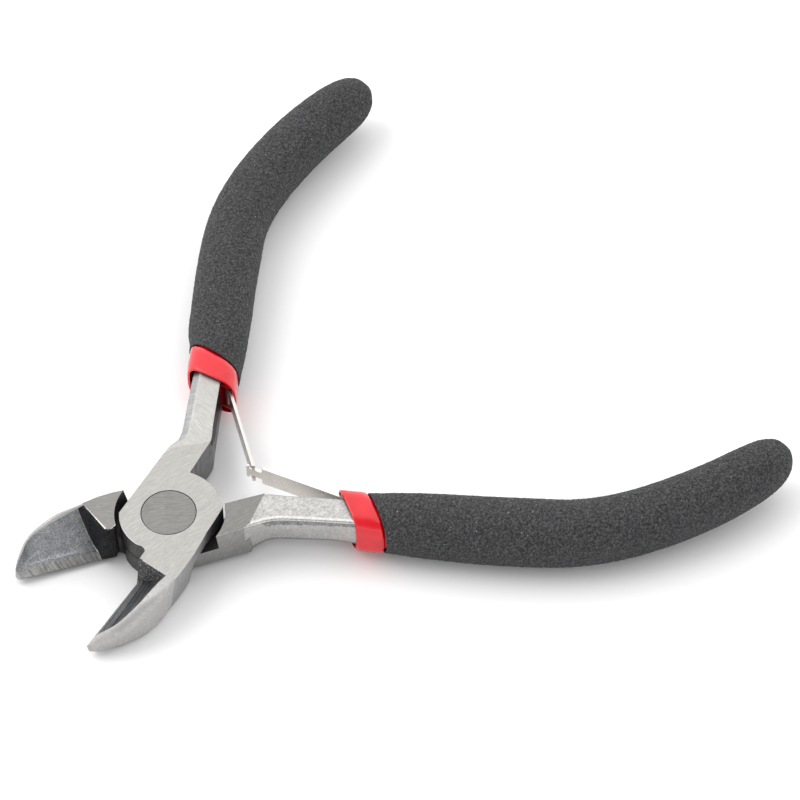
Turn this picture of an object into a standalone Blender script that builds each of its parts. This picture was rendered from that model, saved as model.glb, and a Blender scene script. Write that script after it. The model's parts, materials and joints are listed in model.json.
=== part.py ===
"""Flush cutter: lap-joint pliers with two forged halves, a rivet, two hooked leaf springs and dipped grips.

Metres, +Z up. +X runs along the mid-line towards the handles, the jaws point to -X.
The origin is the centre of the rivet's lower face, on the pivot axis. The tool is built half open.
Each half is drawn in its own closed frame: x along the mid-line, y towards its own handle,
z from the middle plane of the joint. place() mirrors and turns it into the part's frame.
"""
import math

import bmesh
import bpy
import numpy as np

MM = 0.001

# joint
HALF_OPEN = math.radians(20.43)      # each half is turned this far from the mid-line at rest
MID_Z = 3.5 * MM                     # half the joint's thickness, and height of its middle plane
PLATE_GAP = 0.2 * MM                 # running gap between the two lap plates
RIVET_R = 4.0 * MM
RIVET_CLEARANCE = 0.12 * MM
RIVET_EDGE = 0.15 * MM               # chamfer round both ends of the rivet
JAW_ARC_R = 7.3 * MM                 # lap plate's round end beside the other jaw
TANG_ARC_R = 8.0 * MM                # lap plate's round end beside the other tang
ARC_CLEARANCE = 0.35 * MM            # radial room between a plate's arc and the other half's shoulder
SIDE_OUT = 6.4 * MM                  # plate's straight side on its own handle's side
SIDE_IN = 6.65 * MM                  # plate's straight side on its own jaw's side

# jaw
JAW_SHOULDER = 1.85 * MM             # from the joint's arc to where the hollow starts
JAW_ROOT_X = JAW_ARC_R + JAW_SHOULDER
JAW_LENGTH = 14.3 * MM
JAW_SLANT = 0.22                     # the hollow's end wall leans back this much per unit of width
HOLLOW_WALL = 1.1 * MM               # length of the sloping wall that ends the hollow
BITE_GAP = 0.05 * MM                 # each cutting edge stays this far from the meeting plane
EDGE_Z_ROOT = -2.7 * MM
EDGE_Z_TIP = -1.7 * MM
STRIP_W = 0.85 * MM                  # ground strip beside the cutting edge, in plan
STRIP_H = 1.35 * MM                  # and its height
FLUSH_BEVEL = 0.45 * MM              # small bevel under the cutting edge
# share of the length, outer side, fall of the top below the joint's face, inner side of the top land,
# rise of the underside, corner rounding
JAW_ROWS = (
    (0.000, 6.62, 0.00, 5.75, 0.00, 0.25),
    (0.112, 6.58, 0.00, 5.30, 0.00, 0.30),
    (0.280, 6.38, 0.05, 4.95, 0.00, 0.45),
    (0.448, 5.80, 0.20, 4.55, 0.05, 0.65),
    (0.601, 4.98, 0.50, 4.00, 0.15, 0.80),
    (0.741, 3.86, 0.88, 3.10, 0.30, 0.85),
    (0.853, 2.66, 1.30, 2.20, 0.50, 0.80),
    (0.944, 1.50, 1.78, 1.30, 0.75, 0.60),
    (1.000, 0.75, 2.15, 0.70, 1.05, 0.35),
)

# tang
TANG_CHAMFER = 1.15 * MM             # outer long edges of the tang
TANG_INNER_EDGE = 0.3 * MM           # inner long edges
NECK_END_X = 12.3 * MM               # the flat plate ends here and the bent tang starts
NECK_IN = 1.4 * MM                   # inner side of the neck
NECK_OUT = 5.4 * MM                  # outer side at the neck's end
SHOULDER_X = 9.1 * MM                # the outer shoulder, before the neck narrows
# beside the joint: x, middle y, half width, fall below the joint's face
NECK_ROWS = (
    (12.35, 3.40, 2.00, 0.00),
    (13.60, 3.88, 2.32, 0.00),
    (15.00, 4.50, 2.42, 0.00),
    (17.20, 5.38, 2.40, 0.02),
    (21.00, 6.96, 2.40, 0.08),
)
# going into the sleeve: x, middle y, half width, half height
TANG_ROWS = (
    (25.00, 8.60, 2.42, 3.20),
    (29.00, 10.20, 2.40, 2.60),
    (33.00, 11.80, 2.30, 2.60),
)
CORE_START = 0.14                    # from this share of the grip the core follows the grip's middle
CORE_END = 0.82
CORE_HALF_W = 2.2 * MM
CORE_HALF_H = 2.65 * MM

# grips
GRIP_START_X = 29.0 * MM
GRIP_LENGTH = 61.7 * MM
# share of the length, middle y, half width, half height of the outside
GRIP_ROWS = (
    (0.0000, 9.90, 4.60, 4.15),
    (0.0648, 11.75, 4.70, 4.55),
    (0.1459, 14.05, 4.66, 4.85),
    (0.2431, 16.90, 4.72, 5.00),
    (0.3404, 19.50, 4.75, 5.05),
    (0.4214, 21.40, 4.60, 5.02),
    (0.5024, 22.50, 4.50, 5.00),
    (0.5997, 22.90, 4.45, 4.98),
    (0.7131, 22.50, 4.40, 4.90),
    (0.8104, 21.60, 4.25, 4.78),
    (0.8914, 20.45, 4.02, 4.55),
    (0.9465, 19.45, 3.55, 4.05),
    (0.9822, 18.75, 2.60, 3.00),
    (1.0000, 18.40, 1.30, 1.50),
)
SECTION_POWER = 2.3                  # grips are slightly squarer than an ellipse
SLEEVE_MOUTH_X = 25.0 * MM
SLEEVE_MOUTH_Y = 7.76 * MM
SLEEVE_MOUTH_HALF_W = 4.22 * MM
SLEEVE_MOUTH_HALF_H = 3.85 * MM
SLEEVE_POWER = 3.2                   # the visible band is a rounded box round the tang
SLEEVE_WALL = 0.48 * MM              # at the mouth, where the leaf spring goes in
LAYER_GAP = 0.25 * MM                # between core and sleeve, and between sleeve and grip
GRIP_WALL = 0.6 * MM
TILT_START_X = 31.0 * MM             # dip lines are square to the mid-line up to here
TILT_END_X = 41.0 * MM               # from here on sections are square to the handle
RING_POINTS = 28

# leaf springs, seen in the closed frame of their half
SPRING_PIN_X = 25.8 * MM
SPRING_PIN_Y = 5.2 * MM
SPRING_PIN_R = 0.3 * MM
SPRING_PIN_CLEARANCE = 0.06 * MM
SPRING_PIN_HALF_L = 2.5 * MM
EYE_WALL = 0.26 * MM
LEAF_T = 0.45 * MM
LEAF_HALF_H = 1.75 * MM
HOOK_DISTANCE = 15.36 * MM           # pin to the place where the leaves cross
EAR_REACH = 0.5 * MM                 # slotted leaf goes on past the crossing
SLOT_DEPTH = 1.55 * MM               # slot and shoulder start this far before the crossing
SLOT_HALF_H = 1.0 * MM
TONGUE_CLEARANCE = 0.25 * MM         # between tongue and slot, each side
HEAD_START = 0.6 * MM                # the tongue's head sits past the crossing
HEAD_LENGTH = 0.4 * MM
HEAD_OVER = 0.3 * MM                 # head is taller than the slot by this, each side

CHEEK_LENGTH = 1.3 * MM              # two cheeks on the tang carry the spring's pin
CHEEK_START_X = 25.12 * MM
CHEEK_HALF_H = 2.6 * MM
CHEEK_EDGE = 0.2 * MM                # metal between pin and the cheeks' free side
CHEEK_SLOT_CLEARANCE = 0.3 * MM      # between leaf and cheeks, up and down

PARTS = "flush_cutter"
CUTTERS = "flush_cutter_cutters"


def place(points, half):
    """Turn closed-frame points of one half (+1 upper, -1 lower) into the part's frame."""
    points = np.asarray(points, dtype=float)
    x = points[:, 0]
    y = points[:, 1] * half
    turn = HALF_OPEN * half
    out = np.empty_like(points)
    out[:, 0] = x * math.cos(turn) - y * math.sin(turn)
    out[:, 1] = x * math.sin(turn) + y * math.cos(turn)
    out[:, 2] = points[:, 2] + MID_Z
    return out


def leaf_angle():
    """Angle between a leaf and its half's mid-line, so that the two leaves cross on the tool's mid-line."""
    pin = place([(SPRING_PIN_X, SPRING_PIN_Y, 0.0)], 1)[0]
    return math.asin(pin[1] / HOOK_DISTANCE) - HALF_OPEN


def new_collection(name):
    collection = bpy.data.collections.new(name)
    bpy.context.scene.collection.children.link(collection)
    return collection


def new_material(name, color, metallic, roughness):
    material = bpy.data.materials.new(name)
    material.use_nodes = True
    shader = material.node_tree.nodes["Principled BSDF"]
    shader.inputs["Base Color"].default_value = (*color, 1.0)
    shader.inputs["Metallic"].default_value = metallic
    shader.inputs["Roughness"].default_value = roughness
    return material


def add_mesh(name, points, faces, collection, origin=(0.0, 0.0, 0.0)):
    """Make one closed mesh object with its faces turned outwards."""
    origin = np.asarray(origin, dtype=float)
    mesh = bpy.data.meshes.new(name)
    mesh.from_pydata([tuple(p) for p in np.asarray(points) - origin], [], faces)
    work = bmesh.new()
    work.from_mesh(mesh)
    bmesh.ops.remove_doubles(work, verts=work.verts, dist=1e-7)
    bmesh.ops.recalc_face_normals(work, faces=work.faces)
    work.to_mesh(mesh)
    work.free()
    obj = bpy.data.objects.new(name, mesh)
    obj.location = tuple(origin)
    collection.objects.link(obj)
    return obj


def add_cutter(name, points, faces, origin=(0.0, 0.0, 0.0)):
    obj = add_mesh(name, points, faces, bpy.data.collections[CUTTERS], origin)
    obj.hide_render = True
    obj.display_type = "WIRE"
    return obj


def boolean(obj, tool, operation):
    modifier = obj.modifiers.new(operation.lower() + "_" + tool.name, "BOOLEAN")
    modifier.operation = operation
    modifier.solver = "EXACT"
    modifier.object = tool


def prism(outline, low, high):
    """Points and faces of a flat outline (x, y) pulled from height low to high."""
    outline = np.asarray(outline, dtype=float)
    count = len(outline)
    lower = np.column_stack([outline, np.full(count, low)])
    upper = np.column_stack([outline, np.full(count, high)])
    faces = [tuple(range(count))[::-1], tuple(range(count, 2 * count))]
    for i in range(count):
        j = (i + 1) % count
        faces.append((i, j, count + j, count + i))
    return np.vstack([lower, upper]), faces


def loft(rings, tip=None):
    """Points and faces of a skin over equal rings, capped flat, or run to a point at tip."""
    rings = [np.asarray(ring, dtype=float) for ring in rings]
    count = len(rings[0])
    points = np.vstack(rings)
    faces = [tuple(range(count))[::-1]]
    for k in range(len(rings) - 1):
        for i in range(count):
            j = (i + 1) % count
            a = k * count
            b = a + count
            faces.append((a + i, a + j, b + j, b + i))
    last = (len(rings) - 1) * count
    if tip is None:
        faces.append(tuple(range(last, last + count)))
    else:
        points = np.vstack([points, tip])
        for i in range(count):
            faces.append((last + i, last + (i + 1) % count, len(points) - 1))
    return points, faces


def sock(outer, outer_tip, inner, inner_tip):
    """Points and faces of a closed-ended sleeve with an open mouth."""
    count = len(outer[0])
    points = np.vstack(outer + [outer_tip] + inner + [inner_tip])
    faces = []
    start = 0
    starts = []
    for rings in (outer, inner):
        starts.append(start)
        for k in range(len(rings) - 1):
            for i in range(count):
                j = (i + 1) % count
                a = start + k * count
                b = a + count
                faces.append((a + i, a + j, b + j, b + i))
        last = start + (len(rings) - 1) * count
        for i in range(count):
            faces.append((last + i, last + (i + 1) % count, last + count))
        start = last + count + 1
    for i in range(count):
        j = (i + 1) % count
        faces.append((starts[0] + i, starts[0] + j, starts[1] + j, starts[1] + i))
    return points, faces


def arc(radius, start, end, steps):
    angles = np.radians(np.linspace(start, end, steps))
    return [(radius * math.cos(a), radius * math.sin(a)) for a in angles]


def smooth_rows(rows, steps):
    """Catmull-Rom rows between the given rows, steps to each span."""
    rows = np.asarray(rows, dtype=float)
    ends = np.vstack([2 * rows[0] - rows[1], rows, 2 * rows[-1] - rows[-2]])
    out = []
    for k in range(1, len(rows)):
        a, b, c, d = ends[k - 1], ends[k], ends[k + 1], ends[k + 2]
        for t in np.arange(steps) / steps:
            row = 2 * b + (c - a) * t + (2 * a - 5 * b + 4 * c - d) * t ** 2
            out.append((row + (3 * b - a - 3 * c + d) * t ** 3) / 2)
    out.append(rows[-1])
    return np.array(out)


def jaw_rows():
    """Distance from the root line, outer side, top, land, underside and rounding, in metres."""
    rows = np.array(JAW_ROWS)
    rows[:, 1:] *= MM
    rows[:, 0] *= JAW_LENGTH
    rows[:, 2] = MID_Z - rows[:, 2]
    rows[:, 4] = MID_Z - rows[:, 4]
    return rows


def grip_rows():
    """x, middle y, half width and half height of the grip's outside, in metres."""
    rows = np.array(GRIP_ROWS)
    rows[:, 1:] *= MM
    rows[:, 0] = GRIP_START_X + GRIP_LENGTH * rows[:, 0]
    return rows


def core_rows():
    """x, middle y, half width and half height of tang and core, from the neck to the core's end."""
    neck = np.array(NECK_ROWS) * MM
    neck[:, 3] = MID_Z - neck[:, 3]
    share = np.array(GRIP_ROWS)[:, 0]
    core = grip_rows()[(share > CORE_START) & (share < CORE_END)]
    core[:, 2] = CORE_HALF_W
    core[:, 3] = CORE_HALF_H
    return np.vstack([neck, np.array(TANG_ROWS) * MM, core])


def tilts(rows):
    """Turn of each section plane: square to x at first, then square to the handle."""
    slope = np.arctan2(np.gradient(rows[:, 1]), np.gradient(rows[:, 0]))
    share = np.clip((rows[:, 0] - TILT_START_X) / (TILT_END_X - TILT_START_X), 0.0, 1.0)
    return slope * share


def section_ring(row, tilt, power):
    """Superellipse ring round a handle row (x, y, half width, half height)."""
    angles = np.linspace(0.0, 2 * math.pi, RING_POINTS, endpoint=False)
    across = np.sign(np.cos(angles)) * np.abs(np.cos(angles)) ** (2 / power) * row[2]
    up = np.sign(np.sin(angles)) * np.abs(np.sin(angles)) ** (2 / power) * row[3]
    return np.column_stack([row[0] - across * math.sin(tilt), row[1] + across * math.cos(tilt), up])


def plate_outline():
    """Plan of lap plate, jaw root and neck, handle's outer side first."""
    jaw_side = math.degrees(math.acos(-math.sqrt(1 - (SIDE_OUT / JAW_ARC_R) ** 2)))
    tang_side = -math.degrees(math.asin((SIDE_IN - 0.1 * MM) / TANG_ARC_R))
    neck = math.degrees(math.asin(NECK_IN / TANG_ARC_R))
    notch_x = JAW_ARC_R + 0.1 * MM
    root = JAW_ROOT_X - 0.05 * MM
    outline = [(NECK_END_X, NECK_IN), (NECK_END_X, NECK_OUT), (SHOULDER_X, SIDE_OUT)]
    outline += arc(JAW_ARC_R, jaw_side, 171.0, 9)
    outline += [(-notch_x + 0.3 * MM, 0.1 * MM), (-notch_x, -0.45 * MM), (-notch_x - 0.4 * MM, -0.7 * MM)]
    outline += [(-root - JAW_SLANT * 0.6 * MM, -0.6 * MM), (-root - JAW_SLANT * SIDE_IN, -SIDE_IN)]
    outline += arc(TANG_ARC_R, tang_side, neck, 14)
    return outline


def seat_outline():
    """Plan of the room cut for the other half's lap plate."""
    right = arc(TANG_ARC_R + ARC_CLEARANCE, -90.0, 90.0, 33)
    left = arc(JAW_ARC_R + ARC_CLEARANCE + 0.1 * MM, 90.0, 270.0, 33)
    return right + left


def jaw_ring(row, full):
    """One slanted section of the jaw; full sections lie behind the hollow."""
    s, outer, top, land, under, round_edge = row
    edge_z = EDGE_Z_ROOT + (EDGE_Z_TIP - EDGE_Z_ROOT) * max(s, 0.0) / JAW_LENGTH
    inner = BITE_GAP if s > 0 else 0.6 * MM
    strip_w = min(STRIP_W, 0.6 * land)
    strip_y = -inner - strip_w
    strip_z = min(edge_z + STRIP_H, top - 0.3 * MM)
    share = np.array([0.0, 0.2, 0.45, 0.72, 1.0])
    fall = 1 - (1 - share) ** 1.9
    section = [(-outer + round_edge, -under), (-outer, -under + round_edge)]
    section += [(-outer, top - round_edge), (-outer + 0.3 * round_edge, top - 0.3 * round_edge)]
    section += [(-outer + round_edge, top)]
    for t, drop in zip(share, fall):
        y = -land + (land + strip_y) * t
        z = top if full else top + (strip_z - top) * drop
        section.append((y, z))
    if full:
        section.append((-inner, top - 0.2 * MM))
    else:
        section.append((-inner, edge_z))
    bevel = min(FLUSH_BEVEL, 0.35 * outer)
    section += [(-inner - 0.25 * bevel, edge_z - bevel), (-inner - bevel, -under)]
    return np.array([(-(JAW_ROOT_X + s) + JAW_SLANT * y, y, z) for y, z in section])


def jaw_tool(half):
    """The jaw: outer side rounded to a beak, hollow on top, cutting edge on the meeting plane."""
    rows = jaw_rows()
    root = rows[0].copy()
    root[0] = -0.9 * MM
    root[1] -= 0.05 * MM
    root[2] -= 0.05 * MM
    root[4] -= 0.05 * MM
    rings = [jaw_ring(root, True), jaw_ring(rows[0], True)]
    floor = rows[0] + (rows[1] - rows[0]) * (HOLLOW_WALL / (rows[1][0] - rows[0][0]))
    rings.append(jaw_ring(floor, False))
    for row in smooth_rows(rows[1:], 2):
        rings.append(jaw_ring(row, False))
    points, faces = loft(rings)
    return add_cutter("jaw_" + name_of(half), place(points, half), faces)


def tang_tool(half):
    """The bent tang and the handle's core, chamfered along its outer edges."""
    rows = core_rows()
    first = rows[0].copy()
    first[0] -= 0.9 * MM
    first[2] -= 0.05 * MM
    first[3] -= 0.05 * MM
    rows = np.vstack([first, rows[0], smooth_rows(rows[1:], 2)])
    rings = []
    for row, tilt in zip(rows, tilts(rows)):
        x, y, w, h = row
        chamfer = TANG_CHAMFER * min(1.0, max(0.15, (x - NECK_END_X) / (2.0 * MM)))
        section = [(w - chamfer, h), (w, h - chamfer), (w, chamfer - h), (w - chamfer, -h)]
        buried = min(1.0, max(0.0, (x - SLEEVE_MOUTH_X - 1.0 * MM) / (4.0 * MM)))
        e = TANG_INNER_EDGE + (TANG_CHAMFER - TANG_INNER_EDGE) * buried
        section += [(e - w, -h), (-w, e - h), (-w, h - e), (e - w, h)]
        rings.append([(x - a * math.sin(tilt), y + a * math.cos(tilt), z) for a, z in section])
    points, faces = loft(rings)
    return add_cutter("tang_" + name_of(half), place(points, half), faces)


def block_tool(name, half, x0, x1, y0, y1, z0, z1):
    points, faces = prism([(x0, y0), (x1, y0), (x1, y1), (x0, y1)], z0, z1)
    return add_cutter(name + "_" + name_of(half), place(points, half), faces)


def round_tool(name, half, x, y, radius, z0, z1, steps):
    outline = [(x + px, y + py) for px, py in arc(radius, 0.0, 360.0 - 360.0 / steps, steps)]
    points, faces = prism(outline, z0, z1)
    return add_cutter(name + "_" + name_of(half), place(points, half), faces)


def name_of(half):
    return "upper" if half > 0 else "lower"


def forging(half, material):
    """Jaw, lap plate, neck and tang forged in one piece; the lap plate is half the thickness."""
    points, faces = prism(plate_outline(), -MID_Z, MID_Z)
    obj = add_mesh(name_of(half) + "_half", place(points, half), faces, bpy.data.collections[PARTS])
    boolean(obj, jaw_tool(half), "UNION")
    boolean(obj, tang_tool(half), "UNION")
    cheek_y = SPRING_PIN_Y - SPRING_PIN_R - SPRING_PIN_CLEARANCE - CHEEK_EDGE
    cheek_top = SPRING_PIN_Y + 2.2 * MM
    cheek_end = CHEEK_START_X + CHEEK_LENGTH
    outline = [(CHEEK_START_X, cheek_y), (SPRING_PIN_X, cheek_y), (cheek_end, SPRING_PIN_Y + 0.1 * MM),
               (cheek_end, cheek_top), (CHEEK_START_X, cheek_top)]
    points, faces = prism(outline, -CHEEK_HALF_H, CHEEK_HALF_H)
    boolean(obj, add_cutter("cheeks_" + name_of(half), place(points, half), faces), "UNION")
    slot_half = LEAF_HALF_H + CHEEK_SLOT_CLEARANCE
    slot = block_tool("spring_slot", half, CHEEK_START_X - 1.0 * MM, cheek_end + 0.3 * MM,
                      cheek_y - 1.0 * MM, SPRING_PIN_Y + SPRING_PIN_R + 0.75 * MM, -slot_half, slot_half)
    boolean(obj, slot, "DIFFERENCE")
    pin_r = SPRING_PIN_R + SPRING_PIN_CLEARANCE
    boolean(obj, round_tool("pin_hole", half, SPRING_PIN_X, SPRING_PIN_Y, pin_r, -MID_Z * 2, MID_Z * 2, 20),
            "DIFFERENCE")
    low, high = (-MID_Z * 2, PLATE_GAP / 2) if half > 0 else (-PLATE_GAP / 2, MID_Z * 2)
    points, faces = prism(seat_outline(), low, high)
    boolean(obj, add_cutter("seat_" + name_of(half), place(points, half), faces), "DIFFERENCE")
    hole = round_tool("rivet_hole", half, 0.0, 0.0, RIVET_R + RIVET_CLEARANCE, -MID_Z * 2, MID_Z * 2, 72)
    boolean(obj, hole, "DIFFERENCE")
    obj.data.materials.append(material)
    return obj


def rivet(material):
    """Solid pivot rivet, peened and ground flush on both sides."""
    rings = []
    for z, radius in ((-MID_Z, RIVET_R - RIVET_EDGE), (-MID_Z + RIVET_EDGE, RIVET_R),
                      (MID_Z - RIVET_EDGE, RIVET_R), (MID_Z, RIVET_R - RIVET_EDGE)):
        rings.append([(x, y, z + MID_Z) for x, y in arc(radius, 0.0, 355.0, 72)])
    points, faces = loft(rings)
    obj = add_mesh("pivot_rivet", points, faces, bpy.data.collections[PARTS])
    obj.data.materials.append(material)
    return obj


def leaf(half, material):
    """Flat spring on edge: rolled eye on its pin, and a slot or a headed tongue at its free end."""
    pin = place([(SPRING_PIN_X, SPRING_PIN_Y, -MID_Z)], half)[0]
    direction = np.array([-math.cos(leaf_angle()), -math.sin(leaf_angle())])
    normal = np.array([-direction[1], direction[0]])
    reach = EAR_REACH if half > 0 else HEAD_START + HEAD_LENGTH
    eye_r = SPRING_PIN_R + SPRING_PIN_CLEARANCE + EYE_WALL
    centre = np.array([SPRING_PIN_X, SPRING_PIN_Y])

    def along(u0, u1, width, z0, z1, name, tool=True):
        corners = [centre + direction * u + normal * v
                   for u, v in ((u0, -width), (u1, -width), (u1, width), (u0, width))]
        points, faces = prism(corners, z0, z1)
        if tool:
            return add_cutter(name + "_" + name_of(half), place(points, half), faces, pin)
        return add_mesh(name, place(points, half), faces, bpy.data.collections[PARTS], pin)

    obj = along(SPRING_PIN_R + 0.1 * MM, HOOK_DISTANCE + reach, LEAF_T / 2, -LEAF_HALF_H, LEAF_HALF_H,
                name_of(half) + "_leaf_spring", tool=False)
    boolean(obj, round_tool("eye", half, *centre, eye_r, -LEAF_HALF_H, LEAF_HALF_H, 24), "UNION")
    hole_r = SPRING_PIN_R + SPRING_PIN_CLEARANCE
    boolean(obj, round_tool("eye_hole", half, *centre, hole_r, -MID_Z, MID_Z, 20), "DIFFERENCE")
    mouth = HOOK_DISTANCE - SLOT_DEPTH
    far = HOOK_DISTANCE + reach + 1.0 * MM
    if half > 0:
        boolean(obj, along(mouth, far, LEAF_T, -SLOT_HALF_H, SLOT_HALF_H, "leaf_slot"), "DIFFERENCE")
    else:
        tongue = SLOT_HALF_H - TONGUE_CLEARANCE
        head = SLOT_HALF_H + HEAD_OVER
        head_at = HOOK_DISTANCE + HEAD_START
        for sign, label in ((1, "above"), (-1, "below")):
            z0, z1 = sorted((sign * tongue, sign * MID_Z))
            boolean(obj, along(mouth, head_at, LEAF_T, z0, z1, "tongue_" + label), "DIFFERENCE")
            z0, z1 = sorted((sign * head, sign * MID_Z))
            boolean(obj, along(head_at - 0.1 * MM, far, LEAF_T, z0, z1, "head_" + label), "DIFFERENCE")
    obj.data.materials.append(material)
    return obj


def spring_pin(half, material):
    """Cross pin through the tang's cheeks and the leaf's eye."""
    outline = [(SPRING_PIN_X + x, SPRING_PIN_Y + y) for x, y in arc(SPRING_PIN_R, 0.0, 345.0, 24)]
    points, faces = prism(outline, -SPRING_PIN_HALF_L, SPRING_PIN_HALF_L)
    obj = add_mesh(name_of(half) + "_spring_pin", place(points, half), faces, bpy.data.collections[PARTS])
    obj.data.materials.append(material)
    return obj


def sleeve(half, material):
    """Dipped vinyl sleeve: wide at its mouth, necked where the grip covers it."""
    grip = grip_rows()
    neck = grip[:, 2:] - (GRIP_WALL + LAYER_GAP)
    rows = np.column_stack([grip[:, :2], neck])
    rows = rows[:-2]
    rows[-1, 2:] *= 0.9
    mouth = (SLEEVE_MOUTH_X, SLEEVE_MOUTH_Y, SLEEVE_MOUTH_HALF_W, SLEEVE_MOUTH_HALF_H)
    visible = (28.4 * MM, 9.55 * MM, SLEEVE_MOUTH_HALF_W + 0.1 * MM, SLEEVE_MOUTH_HALF_H)
    necked = rows[0] - (0.1 * MM, 0.07 * MM, 0.0, 0.0)
    outer_rows = np.vstack([mouth, visible, necked, smooth_rows(rows, 2)])
    powers = np.where(outer_rows[:, 0] < GRIP_START_X, SLEEVE_POWER, SECTION_POWER + 0.4)
    outer = [section_ring(r, t, p) for r, t, p in zip(outer_rows, tilts(outer_rows), powers)]
    core = core_rows()
    core = core[core[:, 0] > GRIP_START_X + 1.0 * MM]
    inside = np.column_stack([core[:, :2], core[:, 2:] + LAYER_GAP])
    inside[:, 2] += 0.2 * MM
    inside[:, 3] += 0.1 * MM
    cavity = (SLEEVE_MOUTH_X, SLEEVE_MOUTH_Y - 0.06 * MM, SLEEVE_MOUTH_HALF_W - SLEEVE_WALL,
              SLEEVE_MOUTH_HALF_H - 0.35 * MM)
    pocket = (26.9 * MM, 8.76 * MM, 3.85 * MM, 3.45 * MM)
    throat = (28.2 * MM, 9.6 * MM, 3.3 * MM, 3.1 * MM)
    inner_rows = np.vstack([cavity, pocket, throat, smooth_rows(inside, 1)])
    last = inner_rows[-1].copy()
    last[0] += 1.2 * MM
    last[1] -= 0.25 * MM
    inner_rows = np.vstack([inner_rows, last])
    inner = [section_ring(r, t, 4.0) for r, t in zip(inner_rows, tilts(inner_rows))]
    outer_tip = [(outer_rows[-1, 0] + 0.6 * MM, outer_rows[-1, 1] - 0.15 * MM, 0.0)]
    inner_tip = [(inner_rows[-1, 0] + 0.2 * MM, inner_rows[-1, 1], 0.0)]
    points, faces = sock(outer, outer_tip, inner, inner_tip)
    obj = add_mesh(name_of(half) + "_sleeve", place(points, half), faces, bpy.data.collections[PARTS])
    finish_round(obj, material)
    return obj


def grip(half, material):
    """Textured outer grip, a closed-ended sock over the sleeve."""
    rows = smooth_rows(grip_rows(), 2)
    outer = [section_ring(r, t, SECTION_POWER) for r, t in zip(rows, tilts(rows))]
    inside = grip_rows()[:-2]
    inside[:, 2:] -= GRIP_WALL
    inside[-1, 2:] *= 0.92
    inner = [section_ring(r, t, SECTION_POWER + 0.4) for r, t in zip(inside, tilts(inside))]
    outer_tip = [(rows[-1, 0] + 0.45 * MM, rows[-1, 1] - 0.15 * MM, 0.0)]
    inner_tip = [(inside[-1, 0] + 1.0 * MM, inside[-1, 1] - 0.25 * MM, 0.0)]
    points, faces = sock(outer, outer_tip, inner, inner_tip)
    obj = add_mesh(name_of(half) + "_grip", place(points, half), faces, bpy.data.collections[PARTS])
    finish_round(obj, material)
    return obj


def finish_round(obj, material):
    for polygon in obj.data.polygons:
        polygon.use_smooth = True
    obj.data.set_sharp_from_angle(angle=math.radians(40.0))
    obj.data.materials.append(material)


def build():
    for obj in list(bpy.data.objects):
        bpy.data.objects.remove(obj, do_unlink=True)
    new_collection(PARTS)
    new_collection(CUTTERS)
    steel = (0.62, 0.61, 0.58)
    rivet(new_material("rivet_steel", (0.45, 0.44, 0.43), 1.0, 0.38))
    for half in (1, -1):
        side = name_of(half)
        forging(half, new_material(side + "_forged_steel", steel, 1.0, 0.42))
        leaf(half, new_material(side + "_spring_steel", (0.78, 0.74, 0.68), 1.0, 0.25))
        spring_pin(half, new_material(side + "_pin_steel", (0.5, 0.5, 0.5), 1.0, 0.35))
        sleeve(half, new_material(side + "_sleeve_vinyl", (0.85, 0.02, 0.04), 0.0, 0.25))
        grip(half, new_material(side + "_grip_foam", (0.05, 0.05, 0.055), 0.0, 0.85))


build()
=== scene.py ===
import json
import math

import bmesh
import bpy
import numpy as np
from mathutils import Matrix, Vector


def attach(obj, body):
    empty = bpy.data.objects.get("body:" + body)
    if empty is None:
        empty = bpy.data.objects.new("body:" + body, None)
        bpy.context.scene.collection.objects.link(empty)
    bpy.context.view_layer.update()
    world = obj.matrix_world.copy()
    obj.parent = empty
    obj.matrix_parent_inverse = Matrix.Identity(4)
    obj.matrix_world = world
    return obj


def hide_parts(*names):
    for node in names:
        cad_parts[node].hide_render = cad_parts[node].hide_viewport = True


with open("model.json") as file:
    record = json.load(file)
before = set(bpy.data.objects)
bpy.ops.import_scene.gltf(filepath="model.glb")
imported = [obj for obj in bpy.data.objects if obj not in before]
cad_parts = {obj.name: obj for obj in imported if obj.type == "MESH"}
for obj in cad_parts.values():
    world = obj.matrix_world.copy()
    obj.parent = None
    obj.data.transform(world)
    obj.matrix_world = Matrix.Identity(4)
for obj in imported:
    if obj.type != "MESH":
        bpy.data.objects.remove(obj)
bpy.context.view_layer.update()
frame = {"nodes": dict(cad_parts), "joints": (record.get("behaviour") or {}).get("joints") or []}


# Camera and studio. The tool lies on a pale board, seen from above its jaws by a long lens,
# with one large soft light behind its left handle and a white room around it.

CAMERA_AZIMUTH = math.radians(-39.636)
CAMERA_ELEVATION = math.radians(51.02)
CAMERA_ROLL = math.radians(-0.719)
CAMERA_SPOT = Vector((-0.19693, -0.29125, 0.46494))
CAMERA_LENS = 176.83


def make_camera():
    """The three axes come from azimuth, elevation and roll; azimuth 0 looks along +Y."""
    sin_a, cos_a = math.sin(CAMERA_AZIMUTH), math.cos(CAMERA_AZIMUTH)
    sin_e, cos_e = math.sin(CAMERA_ELEVATION), math.cos(CAMERA_ELEVATION)
    back = Vector((sin_a * cos_e, -cos_a * cos_e, sin_e))
    level = Vector((cos_a, sin_a, 0.0))
    rise = back.cross(level)
    right = level * math.cos(CAMERA_ROLL) + rise * math.sin(CAMERA_ROLL)
    up = rise * math.cos(CAMERA_ROLL) - level * math.sin(CAMERA_ROLL)
    data = bpy.data.cameras.new("camera")
    data.lens = CAMERA_LENS
    data.clip_start = 0.05
    data.clip_end = 20.0
    camera = bpy.data.objects.new("camera", data)
    turn = Matrix((right, up, back)).transposed()
    camera.matrix_world = Matrix.Translation(CAMERA_SPOT) @ turn.to_4x4()
    bpy.context.scene.collection.objects.link(camera)
    bpy.context.scene.camera = camera


BOARD_JAW_SPOT = (-0.020, -0.0001)     # x and height where the board touches the jaws
BOARD_GRIP_SPOT = (0.040, -0.00163)    # and the grips, which are fatter than the joint
BOARD_HALF = 1.5


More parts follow.
